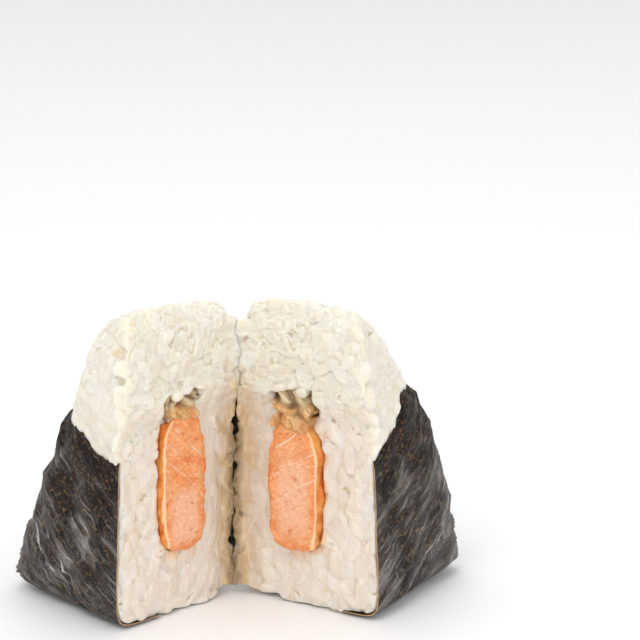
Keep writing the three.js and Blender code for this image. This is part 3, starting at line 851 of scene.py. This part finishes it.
def rice(side, tree, ids, shapes, seed, material):
    """A half's rice: one skin that carries what its material shows."""
    mesh, middle, axes, own = heap(side, tree, ids, shapes, seed)
    p = smoothed(mesh, points_of(mesh), 1, np.ones(len(mesh.vertices)))
    held, spare = nearest_grains(p, middle, axes)
    p, border, pits, crevice = finished_skin(side, mesh, p, spare)
    move_points(mesh, p)
    behind = behind_knife(p)
    outer = -above_surface(side, p, 0)
    oily = 1 - smoothstep(inside_filling(SALMON[side], p, 0), 1.0, 1.4)
    oily *= smoothstep(noise(p, 3.0, 71), -0.5, 0.5)
    u, v, z = p.T
    carry(
        mesh,
        tint=own[held],
        border=border,
        # painted shade where the skin lies deep, in pits and in crevices
        cleft=np.maximum(smoothstep(np.minimum(behind, outer), 0.6, 2.4), 0.9 * np.maximum(pits, crevice)),
        on_cut=smoothstep(outer - behind, -0.5, 1.5) * smoothstep(z, SWELL_FULL, SWELL_START - 4),
        oily=oily * (behind < 3),
        # shade: painted shade by the seam, which fades higher up
        shade=(1 - smoothstep(from_seam(p), 0.0, 9.0)) * (1 - 0.8 * smoothstep(z, 38, 60)),
        streak=np.stack([v / 0.9, z / 5.0, u / 2.0], -1),
    )
    ratio = min(1, RICE_TRIANGLES / len(faces_of(mesh)))
    mesh = with_modifiers(put("rice", mesh), ("DECIMATE", {"ratio": ratio, "use_collapse_triangulate": True}))
    return finished(f"rice_grains_{side}", mesh, side, material, "rice", f"rice_{side}")


# Nori


def nori_wave(side, angle, z):
    """How far the nori stands off in broad waves, in millimetres."""
    phase = NORI_TURNS[side]
    creases = np.sin(9 * angle + 0.35 * z + phase) + np.sin(15 * angle - 0.27 * z + 2 * phase)
    fade = smoothstep(z, 1, 6) * smoothstep(angle + math.pi / 2, 0, CREASE_FADE)
    return NORI_WAVE * fade * (2 + creases) / 4


def wrinkles(side, along, z, fade):
    """Relief of the nori in millimetres, and how sharp a ridge each place is. along runs round
    the half from the cut. The creases climb outwards from the cut, as drawn by the wrapping."""
    seed = 3 if side == "left" else 8
    q = np.stack([along, z], -1)
    warp = 2.2 * noise(q, 9, seed) + 0.8 * noise(q, 3.5, seed + 1)
    across = 0.77 * z - 0.64 * along + warp
    run = 0.64 * z + 0.77 * along
    relief, ridge = 0, 0
    for period, height, stretch, k in ((5.5, 0.5, 3.6, 2), (2.8, 0.3, 4.5, 3), (1.6, 0.14, 4.0, 4)):
        lines = noise(np.stack([across / period, run / (period * stretch)], -1), 1, seed + k)
        sharp = 1 - np.minimum(1, np.abs(lines) * 4.5)
        relief = relief + height * sharp
        ridge = np.maximum(ridge, sharp * smoothstep(noise(q, 7, seed + 9 + k), -0.5, 0.5))
    relief = relief + 0.24 * (1 + noise(q, 6.5, seed + 5)) + 0.12 * (1 + noise(q, 2.4, seed + 6)) - 0.2
    return relief * fade, ridge * fade


def nori_half(side):
    """Grids of the outer and inner face, with what the material needs, from the cut to the hinge."""
    rises = np.linspace(-math.pi / 2 + 0.02, 1.45, 420)
    many = np.linspace(math.pi / 2, -math.pi / 2, 721)
    line = surface("left", towards(many, np.full_like(many, -0.1)), 0)
    length = np.concatenate([[0], np.cumsum(np.linalg.norm(np.diff(line, axis=0), axis=1))])
    along = np.linspace(0, length[-1], NORI_COLUMNS + 1)
    along[1] = RIM
    angles = np.interp(along, length, many)
    edge = np.stack([along, along * 0], -1)
    jag = 0.9 * noise(edge, 1.4, 21) + 0.5 * noise(edge, 4.5, 22 if side == "left" else 23)
    outer, inner, sheet, ridge, rim = [], [], [], [], []
    for k, angle in enumerate(angles):
        line = surface(side, towards(np.full_like(rises, angle), rises), 0)
        z = line[:, 2]
        out = np.hypot(line[:, 0], line[:, 1] - MIDDLE[1])
        widest = int(np.argmax(np.where(rises < 0.2, out, 0)))
        corner = np.interp(CREASE_FOOT, z, rises)
        inside = np.interp(corner, rises, out) - NORI_TUCK
        folded = np.interp(inside, out[: widest + 1], rises[: widest + 1])
        share = smoothstep(angle + math.pi / 2, 0, CREASE_FADE)
        first = corner + (folded - corner) * share
        last = np.interp(nori_top(side, angle) + jag[k], z, rises)
        steps = np.concatenate([[0], np.cumsum(np.linalg.norm(np.diff(line, axis=0), axis=1))])
        spaced = np.linspace(np.interp(first, rises, steps), np.interp(last, rises, steps), NORI_ROWS + 1)
        spaced[-2] = spaced[-1] - RIM
        at = np.interp(spaced, steps, rises)
        flat = surface(side, towards(np.full_like(at, angle), at), 0)
        fade = smoothstep(flat[:, 2], 0.3, 5) * smoothstep(angle + math.pi / 2, 0.02, 0.25)
        hug = 0.15 + 0.85 * smoothstep(np.minimum(spaced[-1] - spaced, along[k]), 0, 5)
        relief, sharp = wrinkles(side, np.full_like(at, along[k]), flat[:, 2], fade * hug)
        sunk = 0.25 + 0.3 * smoothstep(spaced - spaced[-1], -2.5, 0)
        sunk += 0.4 * smoothstep(along[k], 8, 20) * smoothstep(-flat[:, 2], -14, -5)
        lift = nori_wave(side, angle, flat[:, 2]) * hug + relief - sunk
        directions = towards(np.full_like(at, angle), at)
        for grid, inset in ((outer, -lift), (inner, NORI_THICKNESS - lift)):
            column = surface(side, directions, inset)
            if k == 0:
                column[:, 0] = 0
            if k == NORI_COLUMNS:
                column[:, 0] = -column[:, 1] * math.tan(HALF_OPENING)
            grid.append(column)
        place = np.stack([np.full_like(at, along[k]), spaced - spaced[-1] + flat[-1, 2], 0 * at], -1)
        sheet.append(place)
        ridge.append(sharp)
        from_top = spaced[-1] - spaced
        rim.append((np.minimum(from_top, along[k]) < RIM / 2).astype(float))
    return [np.array(x) for x in (outer, inner, sheet, ridge, rim)]


def nori(material):
    """The sheet: both halves' grids joined at the hinge, with rims between its two faces."""
    halves = {}
    for side in SIDES:
        outer, inner, sheet, ridge, rim = nori_half(side)
        if side == "right":
            sheet[..., 2] = RIGHT_SPECKLE
        halves[side] = [opened(side, outer), opened(side, inner), sheet, ridge, rim]
    outer, inner, sheet, ridge, rim = (
        np.concatenate([left, right[::-1][1:]]) for left, right in zip(halves["left"], halves["right"])
    )
    columns, rows = outer.shape[0] - 1, outer.shape[1] - 1
    index = np.arange(outer.shape[0] * outer.shape[1]).reshape(outer.shape[:2])
    under = index + index.size
    a, b, c, d = index[:-1, :-1], index[:-1, 1:], index[1:, 1:], index[1:, :-1]
    faces = list(np.stack([a, b, c, d], -1).reshape(-1, 4))
    faces += list(np.stack([a, d, c, b], -1).reshape(-1, 4) + index.size)
    for i in range(columns):
        faces.append((index[i, 0], index[i + 1, 0], under[i + 1, 0], under[i, 0]))
        faces.append((index[i + 1, rows], index[i, rows], under[i, rows], under[i + 1, rows]))
    for j in range(rows):
        faces.append((index[0, j + 1], index[0, j], under[0, j], under[0, j + 1]))
        faces.append((index[columns, j], index[columns, j + 1], under[columns, j + 1], under[columns, j]))
    points = np.concatenate([outer.reshape(-1, 3), inner.reshape(-1, 3)])
    mesh = mesh_of("nori", points, faces)
    sheet, ridge, rim = (np.concatenate([x, x]) for x in (sheet.reshape(-1, 3), ridge.ravel(), rim.ravel()))
    # ridge: where the material paints highlights on the crease tops
    carry(mesh, sheet=sheet, ridge=ridge, rim=rim)
    return finished("nori_sheet", mesh, None, material, "nori", "nori")


# Salmon and belly skin


def solid_copy(node, side, voxel, passes):
    """A CAD node's form as an even mesh in its half's own frame."""
    mesh = NODES[node].data.copy()
    move_points(mesh, closed(side, points_of(mesh) / METRES))
    if side == "right":
        mesh.flip_normals()
    return with_modifiers(
        put("copy", mesh),
        ("WELD", {"merge_threshold": 0.001}),
        ("REMESH", {"mode": "VOXEL", "voxel_size": voxel}),
        ("SMOOTH", {"factor": 0.5, "iterations": passes}),
    )


# Where the flesh's fat lines would reach v = 0, and how strong each is.
FAT_LINES = {
    "left": ((23.6, 1.0), (18.6, 0.6), (14.4, 0.6)),
    "right": ((30.0, 1.0), (23.8, 0.6), (17.5, 0.6)),
}
FAT_SLOPE = {"left": 1.0, "right": 0.67}
# Where the flesh is palest and how far that reaches, as shares of its height.
PALE_FLESH = {"left": (0.26, 0.32), "right": (0.45, 0.55)}


def fat_lines(side, v, z):
    """How near each place of the flesh is to a slanting fat line, and how far above the lines it is."""
    q = np.stack([v, z], -1)
    bow = -0.012 * (v - SALMON[side]["middle"]) ** 2
    across = z - FAT_SLOPE[side] * v - bow + 0.5 * noise(q, 5, 31) + 0.12 * noise(q, 1.6, 32)
    broken = smoothstep(noise(q, 2.6, 38), -1.1, -0.1)
    lines = [share * smoothstep(-np.abs(across - place), -0.38, -0.06) for place, share in FAT_LINES[side]]
    steps = sum(share * smoothstep(across - place, -0.3, 0.3) for place, share in FAT_LINES[side][:2])
    return np.max(lines, axis=0) * broken, steps


def salmon(side, material):
    """A half's piece of salmon: flakes and fat lines on its cut face, rougher sides."""
    mesh = solid_copy(f"salmon_{side}", side, 0.27, 3)
    p, n = points_of(mesh), normals_of(mesh)
    size = SALMON[side]
    face = smoothstep(-n[:, 0], 0.25, 0.85) * (p[:, 0] < 0)
    q = p[:, 1:]
    lines, steps = fat_lines(side, p[:, 1], p[:, 2])
    ripples = noise(np.stack([(p[:, 2] + 0.7 * p[:, 1]) / 0.7, (p[:, 2] - 0.7 * p[:, 1]) / 3.0], -1), 1, 33)
    relief = face * (0.3 * noise(q, 4, 34) - 0.2 * lines - 0.3 * steps + 0.1 * ripples)
    relief += face * 0.12 * noise(q, 1.1, 36)
    relief += (1 - face) * (0.4 * noise(p, 3, 35) + 0.25 * noise(p, 1.3, 37))
    p = p + n * relief[:, None]
    p[:, 0] = np.maximum(p[:, 0], -size["proud"] - 0.3)
    by_nori = smoothstep(p[:, 1] - size["middle"], 3.2, 6.2)
    p[:, 2] += (1.3 - 2.6 * by_nori) * smoothstep(p[:, 2], size["high"] - 3, size["high"])
    move_points(mesh, p)
    across = np.abs(p[:, 1] - size["middle"]) / (size["width"] / 2)
    up = (p[:, 2] - size["low"]) / (size["high"] - size["low"])
    at, reach = PALE_FLESH[side]
    carry(
        mesh,
        flesh=p,
        face=face,
        brim=smoothstep(n[:, 1], 0.1, 0.5) * smoothstep(-n[:, 0], 0.05, 0.4),
        fat=lines * face,
        edge=np.maximum(smoothstep(across, 0.72, 0.98), smoothstep(-up, -0.12, 0.0)),
        middle=(1 - smoothstep(across, 0.3, 0.95)) * (1 - smoothstep(np.abs(up - at), 0.1, reach)),
    )
    return finished(f"salmon_flesh_{side}", mesh, side, material, "salmon", f"salmon_{side}")


# Folds of the belly skin on each cut face: both ends, counted from the seam side to the nori side
# and from the flesh up, as shares of the skin's width and height, and half the fold's width in mm.
FOLDS = {
    "left": (
        ((0.68, 0.55), (0.54, 0.9), 0.7),
        ((0.5, 0.78), (0.1, 0.15), 0.8),
        ((0.92, 0.45), (0.82, 0.85), 1.3),
        ((0.7, 0.3), (0.2, 0.12), 1.3),
        ((0.35, 0.95), (0.08, 0.6), 0.9),
    ),
    "right": (
        ((0.24, 0.95), (0.28, 0.64), 1.3),
        ((0.56, 0.92), (0.74, 0.42), 1.5),
        ((0.95, 0.75), (0.96, 0.4), 0.6),
        ((0.03, 0.5), (0.12, 0.15), 1.2),
        ((0.2, 0.42), (0.5, 0.4), 0.8),
        ((0.33, 0.2), (0.85, 0.08), 1.3),
    ),
}


def fold_crest(side, a, b):
    """How near places on the belly skin's face are to the tops of its folds, from 0 to 1."""
    size = BELLY[side]
    scale = np.array([size["width"], size["high"] - size["low"]])
    place = np.stack([a, b], -1) * scale
    crest = 0
    for start, end, half_width in FOLDS[side]:
        start, way = np.array(start) * scale, (np.array(end) - np.array(start)) * scale
        along = np.clip((place - start) @ way / (way @ way), 0, 1)
        off = np.linalg.norm(place - start - along[:, None] * way, axis=1)
        crest = np.maximum(crest, np.exp(-((off / half_width) ** 2)))
    return crest


def belly(side, material):
    """The skin's flap, folded over itself, rolled at its foot and draped over the flesh's top edge."""
    mesh = solid_copy(f"belly_{side}", side, 0.24, 6)
    p, n = points_of(mesh), normals_of(mesh)
    size = BELLY[side]
    seed = 51 if side == "left" else 57
    a = (p[:, 1] - size["middle"]) / size["width"] + 0.5 + 0.07 * noise(p, 3, seed)
    b = (p[:, 2] - size["low"]) / (size["high"] - size["low"]) + 0.07 * noise(p, 3, seed + 1)
    crest = fold_crest(side, a, b)
    upper = smoothstep(b + 0.2 * noise(p, 2, seed + 3), 0.35, 0.6)
    front = smoothstep(-n[:, 0], -0.1, 0.6)
    p = p + n * (0.25 * noise(p, 1.5, seed + 2) + 0.1 * noise(p, 0.7, seed + 4))[:, None]
    p[:, 0] += front * (1.7 * (1 - crest) + 0.6 * upper - 0.9)
    draped = front * smoothstep(-b, -0.45, 0.0)
    p[:, 2] -= 1.6 * draped
    p[:, 0] -= 0.5 * draped
    move_points(mesh, p)
    mirrored = -1 if side == "left" else 1
    carry(mesh, flesh=p * np.array([1, mirrored, 1]), crest=crest, upper=upper)
    return finished(f"belly_folds_{side}", mesh, side, material, "belly_skin", f"belly_{side}")


# Materials


def srgb(code):
    """A colour as written in hex, made linear."""
    parts = [(code >> shift & 255) / 255 for shift in (16, 8, 0)]
    return (*[c / 12.92 if c <= 0.04045 else ((c + 0.055) / 1.055) ** 2.4 for c in parts], 1)


def material(name):
    mat = bpy.data.materials.new(name)
    mat.use_nodes = True
    mat.node_tree.nodes.clear()
    return mat, mat.node_tree


def tinted(tree, colour, *layers):
    """A colour under some layers. Each layer is its share and its colour, or a pattern, the values
    of it at which the share is 0 and full, the full share, and the colour."""
    for share, *step, paint in layers:
        if step:
            none, full, most = step
            share = add(tree, *EASED, (share, none, full, 0.0, most))
        paint = srgb(paint) if isinstance(paint, int) else paint
        colour = add(tree, "ShaderNodeMix", {"data_type": "RGBA"}, {0: share, 6: colour, 7: paint}).outputs[2]
    return colour


def drawn_out(tree, place, turn, sizes, field):
    """Noise drawn out along a slant, which is given in degrees about each axis, with its sizes in mm."""
    turned = add(
        tree,
        "ShaderNodeMapping",
        {"vector_type": "TEXTURE"},
        {"Vector": place, "Rotation": [math.radians(angle) for angle in turn], "Scale": sizes},
    )
    return add(tree, "ShaderNodeTexNoise", {}, {"Vector": turned, **field})


def finish(tree, colour, relief, strength, depth, look):
    """A material's surface: its colour, its finest relief to this depth in metres, and its look."""
    bump = add(tree, "ShaderNodeBump", {}, {"Strength": strength, "Distance": depth, "Height": relief})
    shader = add(tree, "ShaderNodeBsdfPrincipled", {}, {"Base Color": colour, "Normal": bump, **look})
    add(tree, "ShaderNodeOutputMaterial", {}, {"Surface": shader})


def rice_material():
    """Steamed short-grain rice: moist, see-through at its edges, ivory, with yellow painted shade in its
    hollows and darker painted shade by the seam.
    """
    mat, tree = material("steamed_rice")
    place = add(tree, "ShaderNodeTexCoord").outputs["Object"]
    tint, border, cleft, on_cut, oily, shade = (
        add(tree, "ShaderNodeAttribute", {"attribute_name": name}).outputs["Fac"]
        for name in ("tint", "border", "cleft", "on_cut", "oily", "shade")
    )
    streak = add(tree, "ShaderNodeAttribute", {"attribute_name": "streak"}).outputs["Vector"]
    smears = add(tree, "ShaderNodeTexNoise", {}, {"Vector": streak, "Scale": 1.0, "Detail": 3})
    specks, starch = (
        add(tree, "ShaderNodeTexNoise", {}, {"Vector": place, "Scale": scale, "Detail": detail})
        for scale, detail in ((300, 2), (1100, 3))
    )
    dome = tinted(tree, srgb(0xE2DCCE), (tint, 0xEAE6DB))
    cut = tinted(tree, srgb(0xE0D3C6), (tint, 0xE9E1D8), (smears, 0.4, 0.75, 0.7, 0xEDE8E0))
    # By the seam the grains carry painted shade, for the slit's shadow and the dark nori seen through them,
    # some more than others; darkest grey brown at the slit.
    seam_shade_by_grain = add(tree, *TIMES_PLUS, (tint, -0.3, shade))
    colour = tinted(
        tree,
        dome,
        (on_cut, cut),
        (seam_shade_by_grain, -0.1, 0.8, 0.8, 0xC9A46C),
        (smears, 0.5, 0.72, 0.55, 0xE8DECB),
        (shade, 0.84, 1.0, 0.65, 0x7A6448),
    )
    # The see-through rims of squashed grains show as thin crooked lines: the yellow ones painted shade, the
    # white ones painted highlights.
    calm = add(tree, *EASED, (shade, 0.0, 0.6, 1.0, 0.15))
    for scale, thin, share, paint in ((330, 0.012, 0.35, 0xD9C592), (470, 0.014, 0.45, 0xFDFBF5)):
        crooked = {"Vector": place, "Scale": scale, "Detail": 1.2, "Distortion": 0.7}
        field = add(tree, "ShaderNodeTexNoise", {}, crooked)
        off = add(tree, "ShaderNodeMath", {"operation": "SUBTRACT"}, (field, 0.5))
        size = add(tree, "ShaderNodeMath", {"operation": "ABSOLUTE"}, (off,))
        line = add(tree, *EASED, (size, thin, 0.0, 0.0, share))
        colour = tinted(tree, colour, (add(tree, *TIMES, (line, calm)), paint))
    # Painted shade: tan lines along the borders between grains and yellow tan in hollows, pits and crevices.
    # The specks and the oil by the salmon are the rice's own colour.
    rims = add(tree, *TIMES, (border, add(tree, *EASED, (on_cut, 0.0, 1.0, 0.18, 0.4))))
    colour = tinted(
        tree,
        colour,
        (rims, 0xDCC8A2),
        (cleft, 0.1, 1.0, 0.65, 0xE2D2A4),
        (specks, 0.7, 0.76, 0.6, 0xE6CF8E),
        (oily, 0.2, 1.0, 0.55, 0xF0C08C),
    )
    look = {
        "Roughness": add(tree, *EASED, (starch, 0.3, 0.7, 0.28, 0.45)),
        "IOR": 1.4,
        "Subsurface Weight": 1.0,
        "Subsurface Radius": (1.0, 0.85, 0.65),
        "Subsurface Scale": 0.002,
        "Coat Weight": 0.25,
        "Coat Roughness": 0.2,
    }
    finish(tree, colour, starch, 0.25, 0.0002, look)
    return mat


def nori_material():
    """Toasted seaweed pressed into a sheet: near black, speckled brown and olive, with painted highlights as
    pale streaks on its creases, which are closer together low down and at the corners."""
    mat, tree = material("toasted_nori")
    place = add(tree, "ShaderNodeAttribute", {"attribute_name": "sheet"}).outputs["Vector"]
    ridge, rim = (
        add(tree, "ShaderNodeAttribute", {"attribute_name": name}).outputs["Fac"] for name in ("ridge", "rim")
    )
    height = add(tree, "ShaderNodeSeparateXYZ", {}, (place,)).outputs[1]
    cloud, fine, olive, patches = (
        add(tree, "ShaderNodeTexNoise", {}, {"Vector": place, "Scale": scale, "Detail": detail})
        for scale, detail in ((0.16, 5), (1.2, 6), (0.8, 6), (0.13, 3))
    )
    base = tinted(
        tree,
        srgb(0x0A0706),
        (cloud, 0.35, 0.65, 1.0, 0x211813),
        (fine, 0.55, 0.67, 0.7, 0x704A2C),
        (olive, 0.58, 0.68, 0.65, 0x74643A),
    )
    # Where the painted highlights are stronger: low down and in patches.
    low = add(tree, *EASED, (height, 46.0, 2.0, 0.0, 0.27))
    where = add(tree, "ShaderNodeMath", {"operation": "ADD"}, (patches, low))
    strength = add(tree, *EASED, (where, 0.48, 0.82, 0.1, 1.0))
    # Painted highlights, pale streaks on the creases, which rise outwards from the cut. Each wide one carries
    # finer ones.
    uneven = {"Scale": 1, "Detail": 3, "Distortion": 0.25}
    wide, thin, hair = (
        add(tree, *EASED, (drawn_out(tree, place, (0, 0, rise), (along, across, 1), uneven), dull, bright))
        for rise, along, across, dull, bright in (
            (40, 15, 2.4, 0.48, 0.7),
            (37, 9, 0.75, 0.52, 0.68),
            (46, 3.5, 0.3, 0.52, 0.68),
        )
    )
    carried = add(tree, *EASED, (wide, 0.0, 0.7, 0.3, 1.0))
    painted_highlight = add(tree, *LARGER, (thin, add(tree, *TIMES, (hair, 0.6))))
    painted_highlight = add(tree, *LARGER, (add(tree, *TIMES, (painted_highlight, carried)), add(tree, *TIMES, (wide, 0.3))))
    painted_highlight = add(tree, *LARGER, (painted_highlight, add(tree, *EASED, (ridge, 0.5, 1.0, 0.0, 0.35))))
    base = tinted(tree, base, (add(tree, *TIMES, (painted_highlight, strength)), 0xCDC5BF), (rim, 0xC39B70))
    look = {
        "Roughness": add(tree, *EASED, (fine, 0.3, 0.7, 0.32, 0.5)),
        "Specular IOR Level": add(tree, *EASED, (strength, 0.0, 1.0, 0.14, 0.4)),
        "IOR": 1.45,
    }
    finish(tree, base, add(tree, *TIMES_PLUS, (painted_highlight, 0.8, fine)), 0.9, 0.0004, look)
    return mat


def salmon_material():
    """Grilled salmon: orange pink flesh, thin pale slanting fat lines, brighter orange sides."""
    mat, tree = material("grilled_salmon")
    place = add(tree, "ShaderNodeAttribute", {"attribute_name": "flesh"}).outputs["Vector"]
    face, brim, lines, middle, edge = (
        add(tree, "ShaderNodeAttribute", {"attribute_name": name}).outputs["Fac"]
        for name in ("face", "brim", "fat", "middle", "edge")
    )
    cloud, spots = (
        add(tree, "ShaderNodeTexNoise", {}, {"Vector": place, "Scale": scale, "Detail": 5})
        for scale in (0.3, 0.55)
    )
    fibre = {"Scale": 0.9, "Detail": 6, "Distortion": 1.0}
    fibres = drawn_out(tree, place, (34, 0, 0), (1, 1.1, 0.45), fibre)
    flesh = tinted(
        tree,
        srgb(0xEC904E),
        (cloud, 0.35, 0.65, 1.0, 0xF6AB6E),
        (middle, 0.1, 1.0, 0.9, 0xF8BE9C),
        (edge, 0.0, 1.0, 0.7, 0xE27C3A),
        (fibres, 0.5, 0.68, 0.6, 0xFCD3AC),
        (fibres, 0.47, 0.33, 0.35, 0xDA7A3C),
        (lines, 0.1, 0.9, 0.9, 0xFDE3CB),
        (spots, 0.62, 0.72, 0.6, 0xC4622C),
    )
    strip = tinted(tree, srgb(0xE98434), (cloud, 0.4, 0.6, 1.0, 0xF4A856))
    # The rounded edge between the cut face and the side towards the nori is paler.
    colour = tinted(tree, strip, (face, 0.2, 0.8, 1.0, flesh), (brim, 0.2, 1.0, 0.7, 0xFCDCB4))
    look = {
        "Roughness": add(tree, *EASED, (fibres, 0.3, 0.7, 0.42, 0.28)),
        "Subsurface Weight": 0.4,
        "Subsurface Radius": (1.0, 0.45, 0.25),
        "Subsurface Scale": 0.0008,
        "Coat Weight": 0.15,
        "Coat Roughness": 0.2,
    }
    finish(tree, colour, add(tree, *TIMES_PLUS, (spots, -0.6, fibres)), 0.7, 0.0004, look)
    return mat


def belly_material():
    """The fish's belly skin: grey beige above, tan where it meets the flesh, with dark painted shade in its
    creases.
    """
    mat, tree = material("belly_skin")
    place = add(tree, "ShaderNodeAttribute", {"attribute_name": "flesh"}).outputs["Vector"]
    crest, upper = (
        add(tree, "ShaderNodeAttribute", {"attribute_name": name}).outputs["Fac"]
        for name in ("crest", "upper")
    )
    cloud = add(tree, "ShaderNodeTexNoise", {}, {"Vector": place, "Scale": 0.5, "Detail": 5})
    tan = tinted(tree, srgb(0xCC8C50), (cloud, 0.35, 0.65, 1.0, 0xE6B678))
    grey = tinted(tree, srgb(0xBBA272), (cloud, 0.35, 0.65, 1.0, 0xDCCBA4))
    wrinkle = {"Scale": 0.9, "Detail": 4, "Distortion": 0.8}
    wrinkled = drawn_out(tree, place, (-48, 0, 0), (1, 2.8, 0.5), wrinkle)
    # Painted shade: dark brown away from the folds' crests, in the creases between them.
    colour = tinted(
        tree,
        tan,
        (upper, grey),
        (wrinkled, 0.48, 0.32, 0.6, 0x96693A),
        (crest, 0.62, 0.08, 0.85, 0x74502C),
        (wrinkled, 0.56, 0.7, 0.6, 0xEBDCBC),
    )
    look = {
        "Roughness": 0.32,
        "Subsurface Weight": 0.3,
        "Subsurface Radius": (1.0, 0.6, 0.3),
        "Subsurface Scale": 0.0008,
    }
    finish(tree, colour, wrinkled, 0.6, 0.0004, look)
    return mat


def floor_material():
    """A matt white table top, very faintly uneven in colour."""
    mat, tree = material("pale_table")
    uneven = add(tree, "ShaderNodeTexNoise", {}, {"Scale": 3})
    colour = tinted(tree, srgb(0xF8F8F8), (uneven, 0.3, 0.7, 1.0, 0xFAFAFA))
    shader = add(tree, "ShaderNodeBsdfPrincipled", {}, {"Base Color": colour, "Roughness": 0.7})
    add(tree, "ShaderNodeOutputMaterial", {}, {"Surface": shader})
    return mat


# Floor, lights and camera


def studio():
    """A white table in even light from the left, the right and above."""
    corners = [(x * FLOOR_REACH, y * FLOOR_REACH, 0) for x, y in ((-1, -1), (1, -1), (1, 1), (-1, 1))]
    floor = put("floor", mesh_of("floor", corners, [(0, 1, 2, 3)]))
    floor.data.materials.append(floor_material())
    world = bpy.data.worlds.new("studio")
    bpy.context.scene.world = world
    world.use_nodes = True
    background = world.node_tree.nodes["Background"].inputs
    background["Color"].default_value = (1, 1, 1, 1)
    background["Strength"].default_value = 0.8
    lamps = (
        ("key", (-0.35, -0.55, 0.75), 0.5, 2.5),
        ("fill", (0.6, -0.5, 0.45), 0.5, 0.9),
        ("top", (0.05, 0.25, 0.8), 0.6, 1.2),
    )
    for name, place, size, watts in lamps:
        lamp = bpy.data.lights.new(name, "AREA")
        lamp.shape = "DISK"
        lamp.size = size
        lamp.energy = watts
        obj = bpy.data.objects.new(name, lamp)
        obj.location = place
        aim = Vector((0, 0, 0.03)) - Vector(place)
        obj.rotation_euler = aim.to_track_quat("-Z", "Y").to_euler()
        bpy.context.scene.collection.objects.link(obj)


def camera():
    """The photo's view."""
    lens = bpy.data.cameras.new("camera")
    lens.sensor_width = 36
    lens.lens = FOCAL_LENGTH
    lens.clip_start = 0.01
    lens.clip_end = 50
    obj = bpy.data.objects.new("camera", lens)
    yaw, level = CAMERA_YAW, math.cos(CAMERA_PITCH)
    forward = Vector((math.sin(yaw) * level, math.cos(yaw) * level, -math.sin(CAMERA_PITCH)))
    right = Vector((math.cos(yaw), -math.sin(yaw), 0))
    basis = Matrix((right, right.cross(forward), -forward)).transposed().to_4x4()
    basis.translation = Vector(CAMERA_PLACE) * METRES
    obj.matrix_world = basis
    bpy.context.scene.collection.objects.link(obj)
    bpy.context.scene.camera = obj


def main():
    rice_look = rice_material()
    shapes = grain_shapes()
    tree, ids = grain_tree(rice_look)
    for side, seed in zip(SIDES, (3, 4)):
        rice(side, tree, ids, shapes, seed, rice_look)
    for shape in list(shapes.objects):
        bpy.data.objects.remove(shape)
    bpy.data.collections.remove(shapes)
    nori(nori_material())
    salmon_look, belly_look = salmon_material(), belly_material()
    for side in SIDES:
        salmon(side, salmon_look)
        belly(side, belly_look)
    studio()
    camera()
    bpy.context.scene.view_settings.view_transform = "Standard"


main()
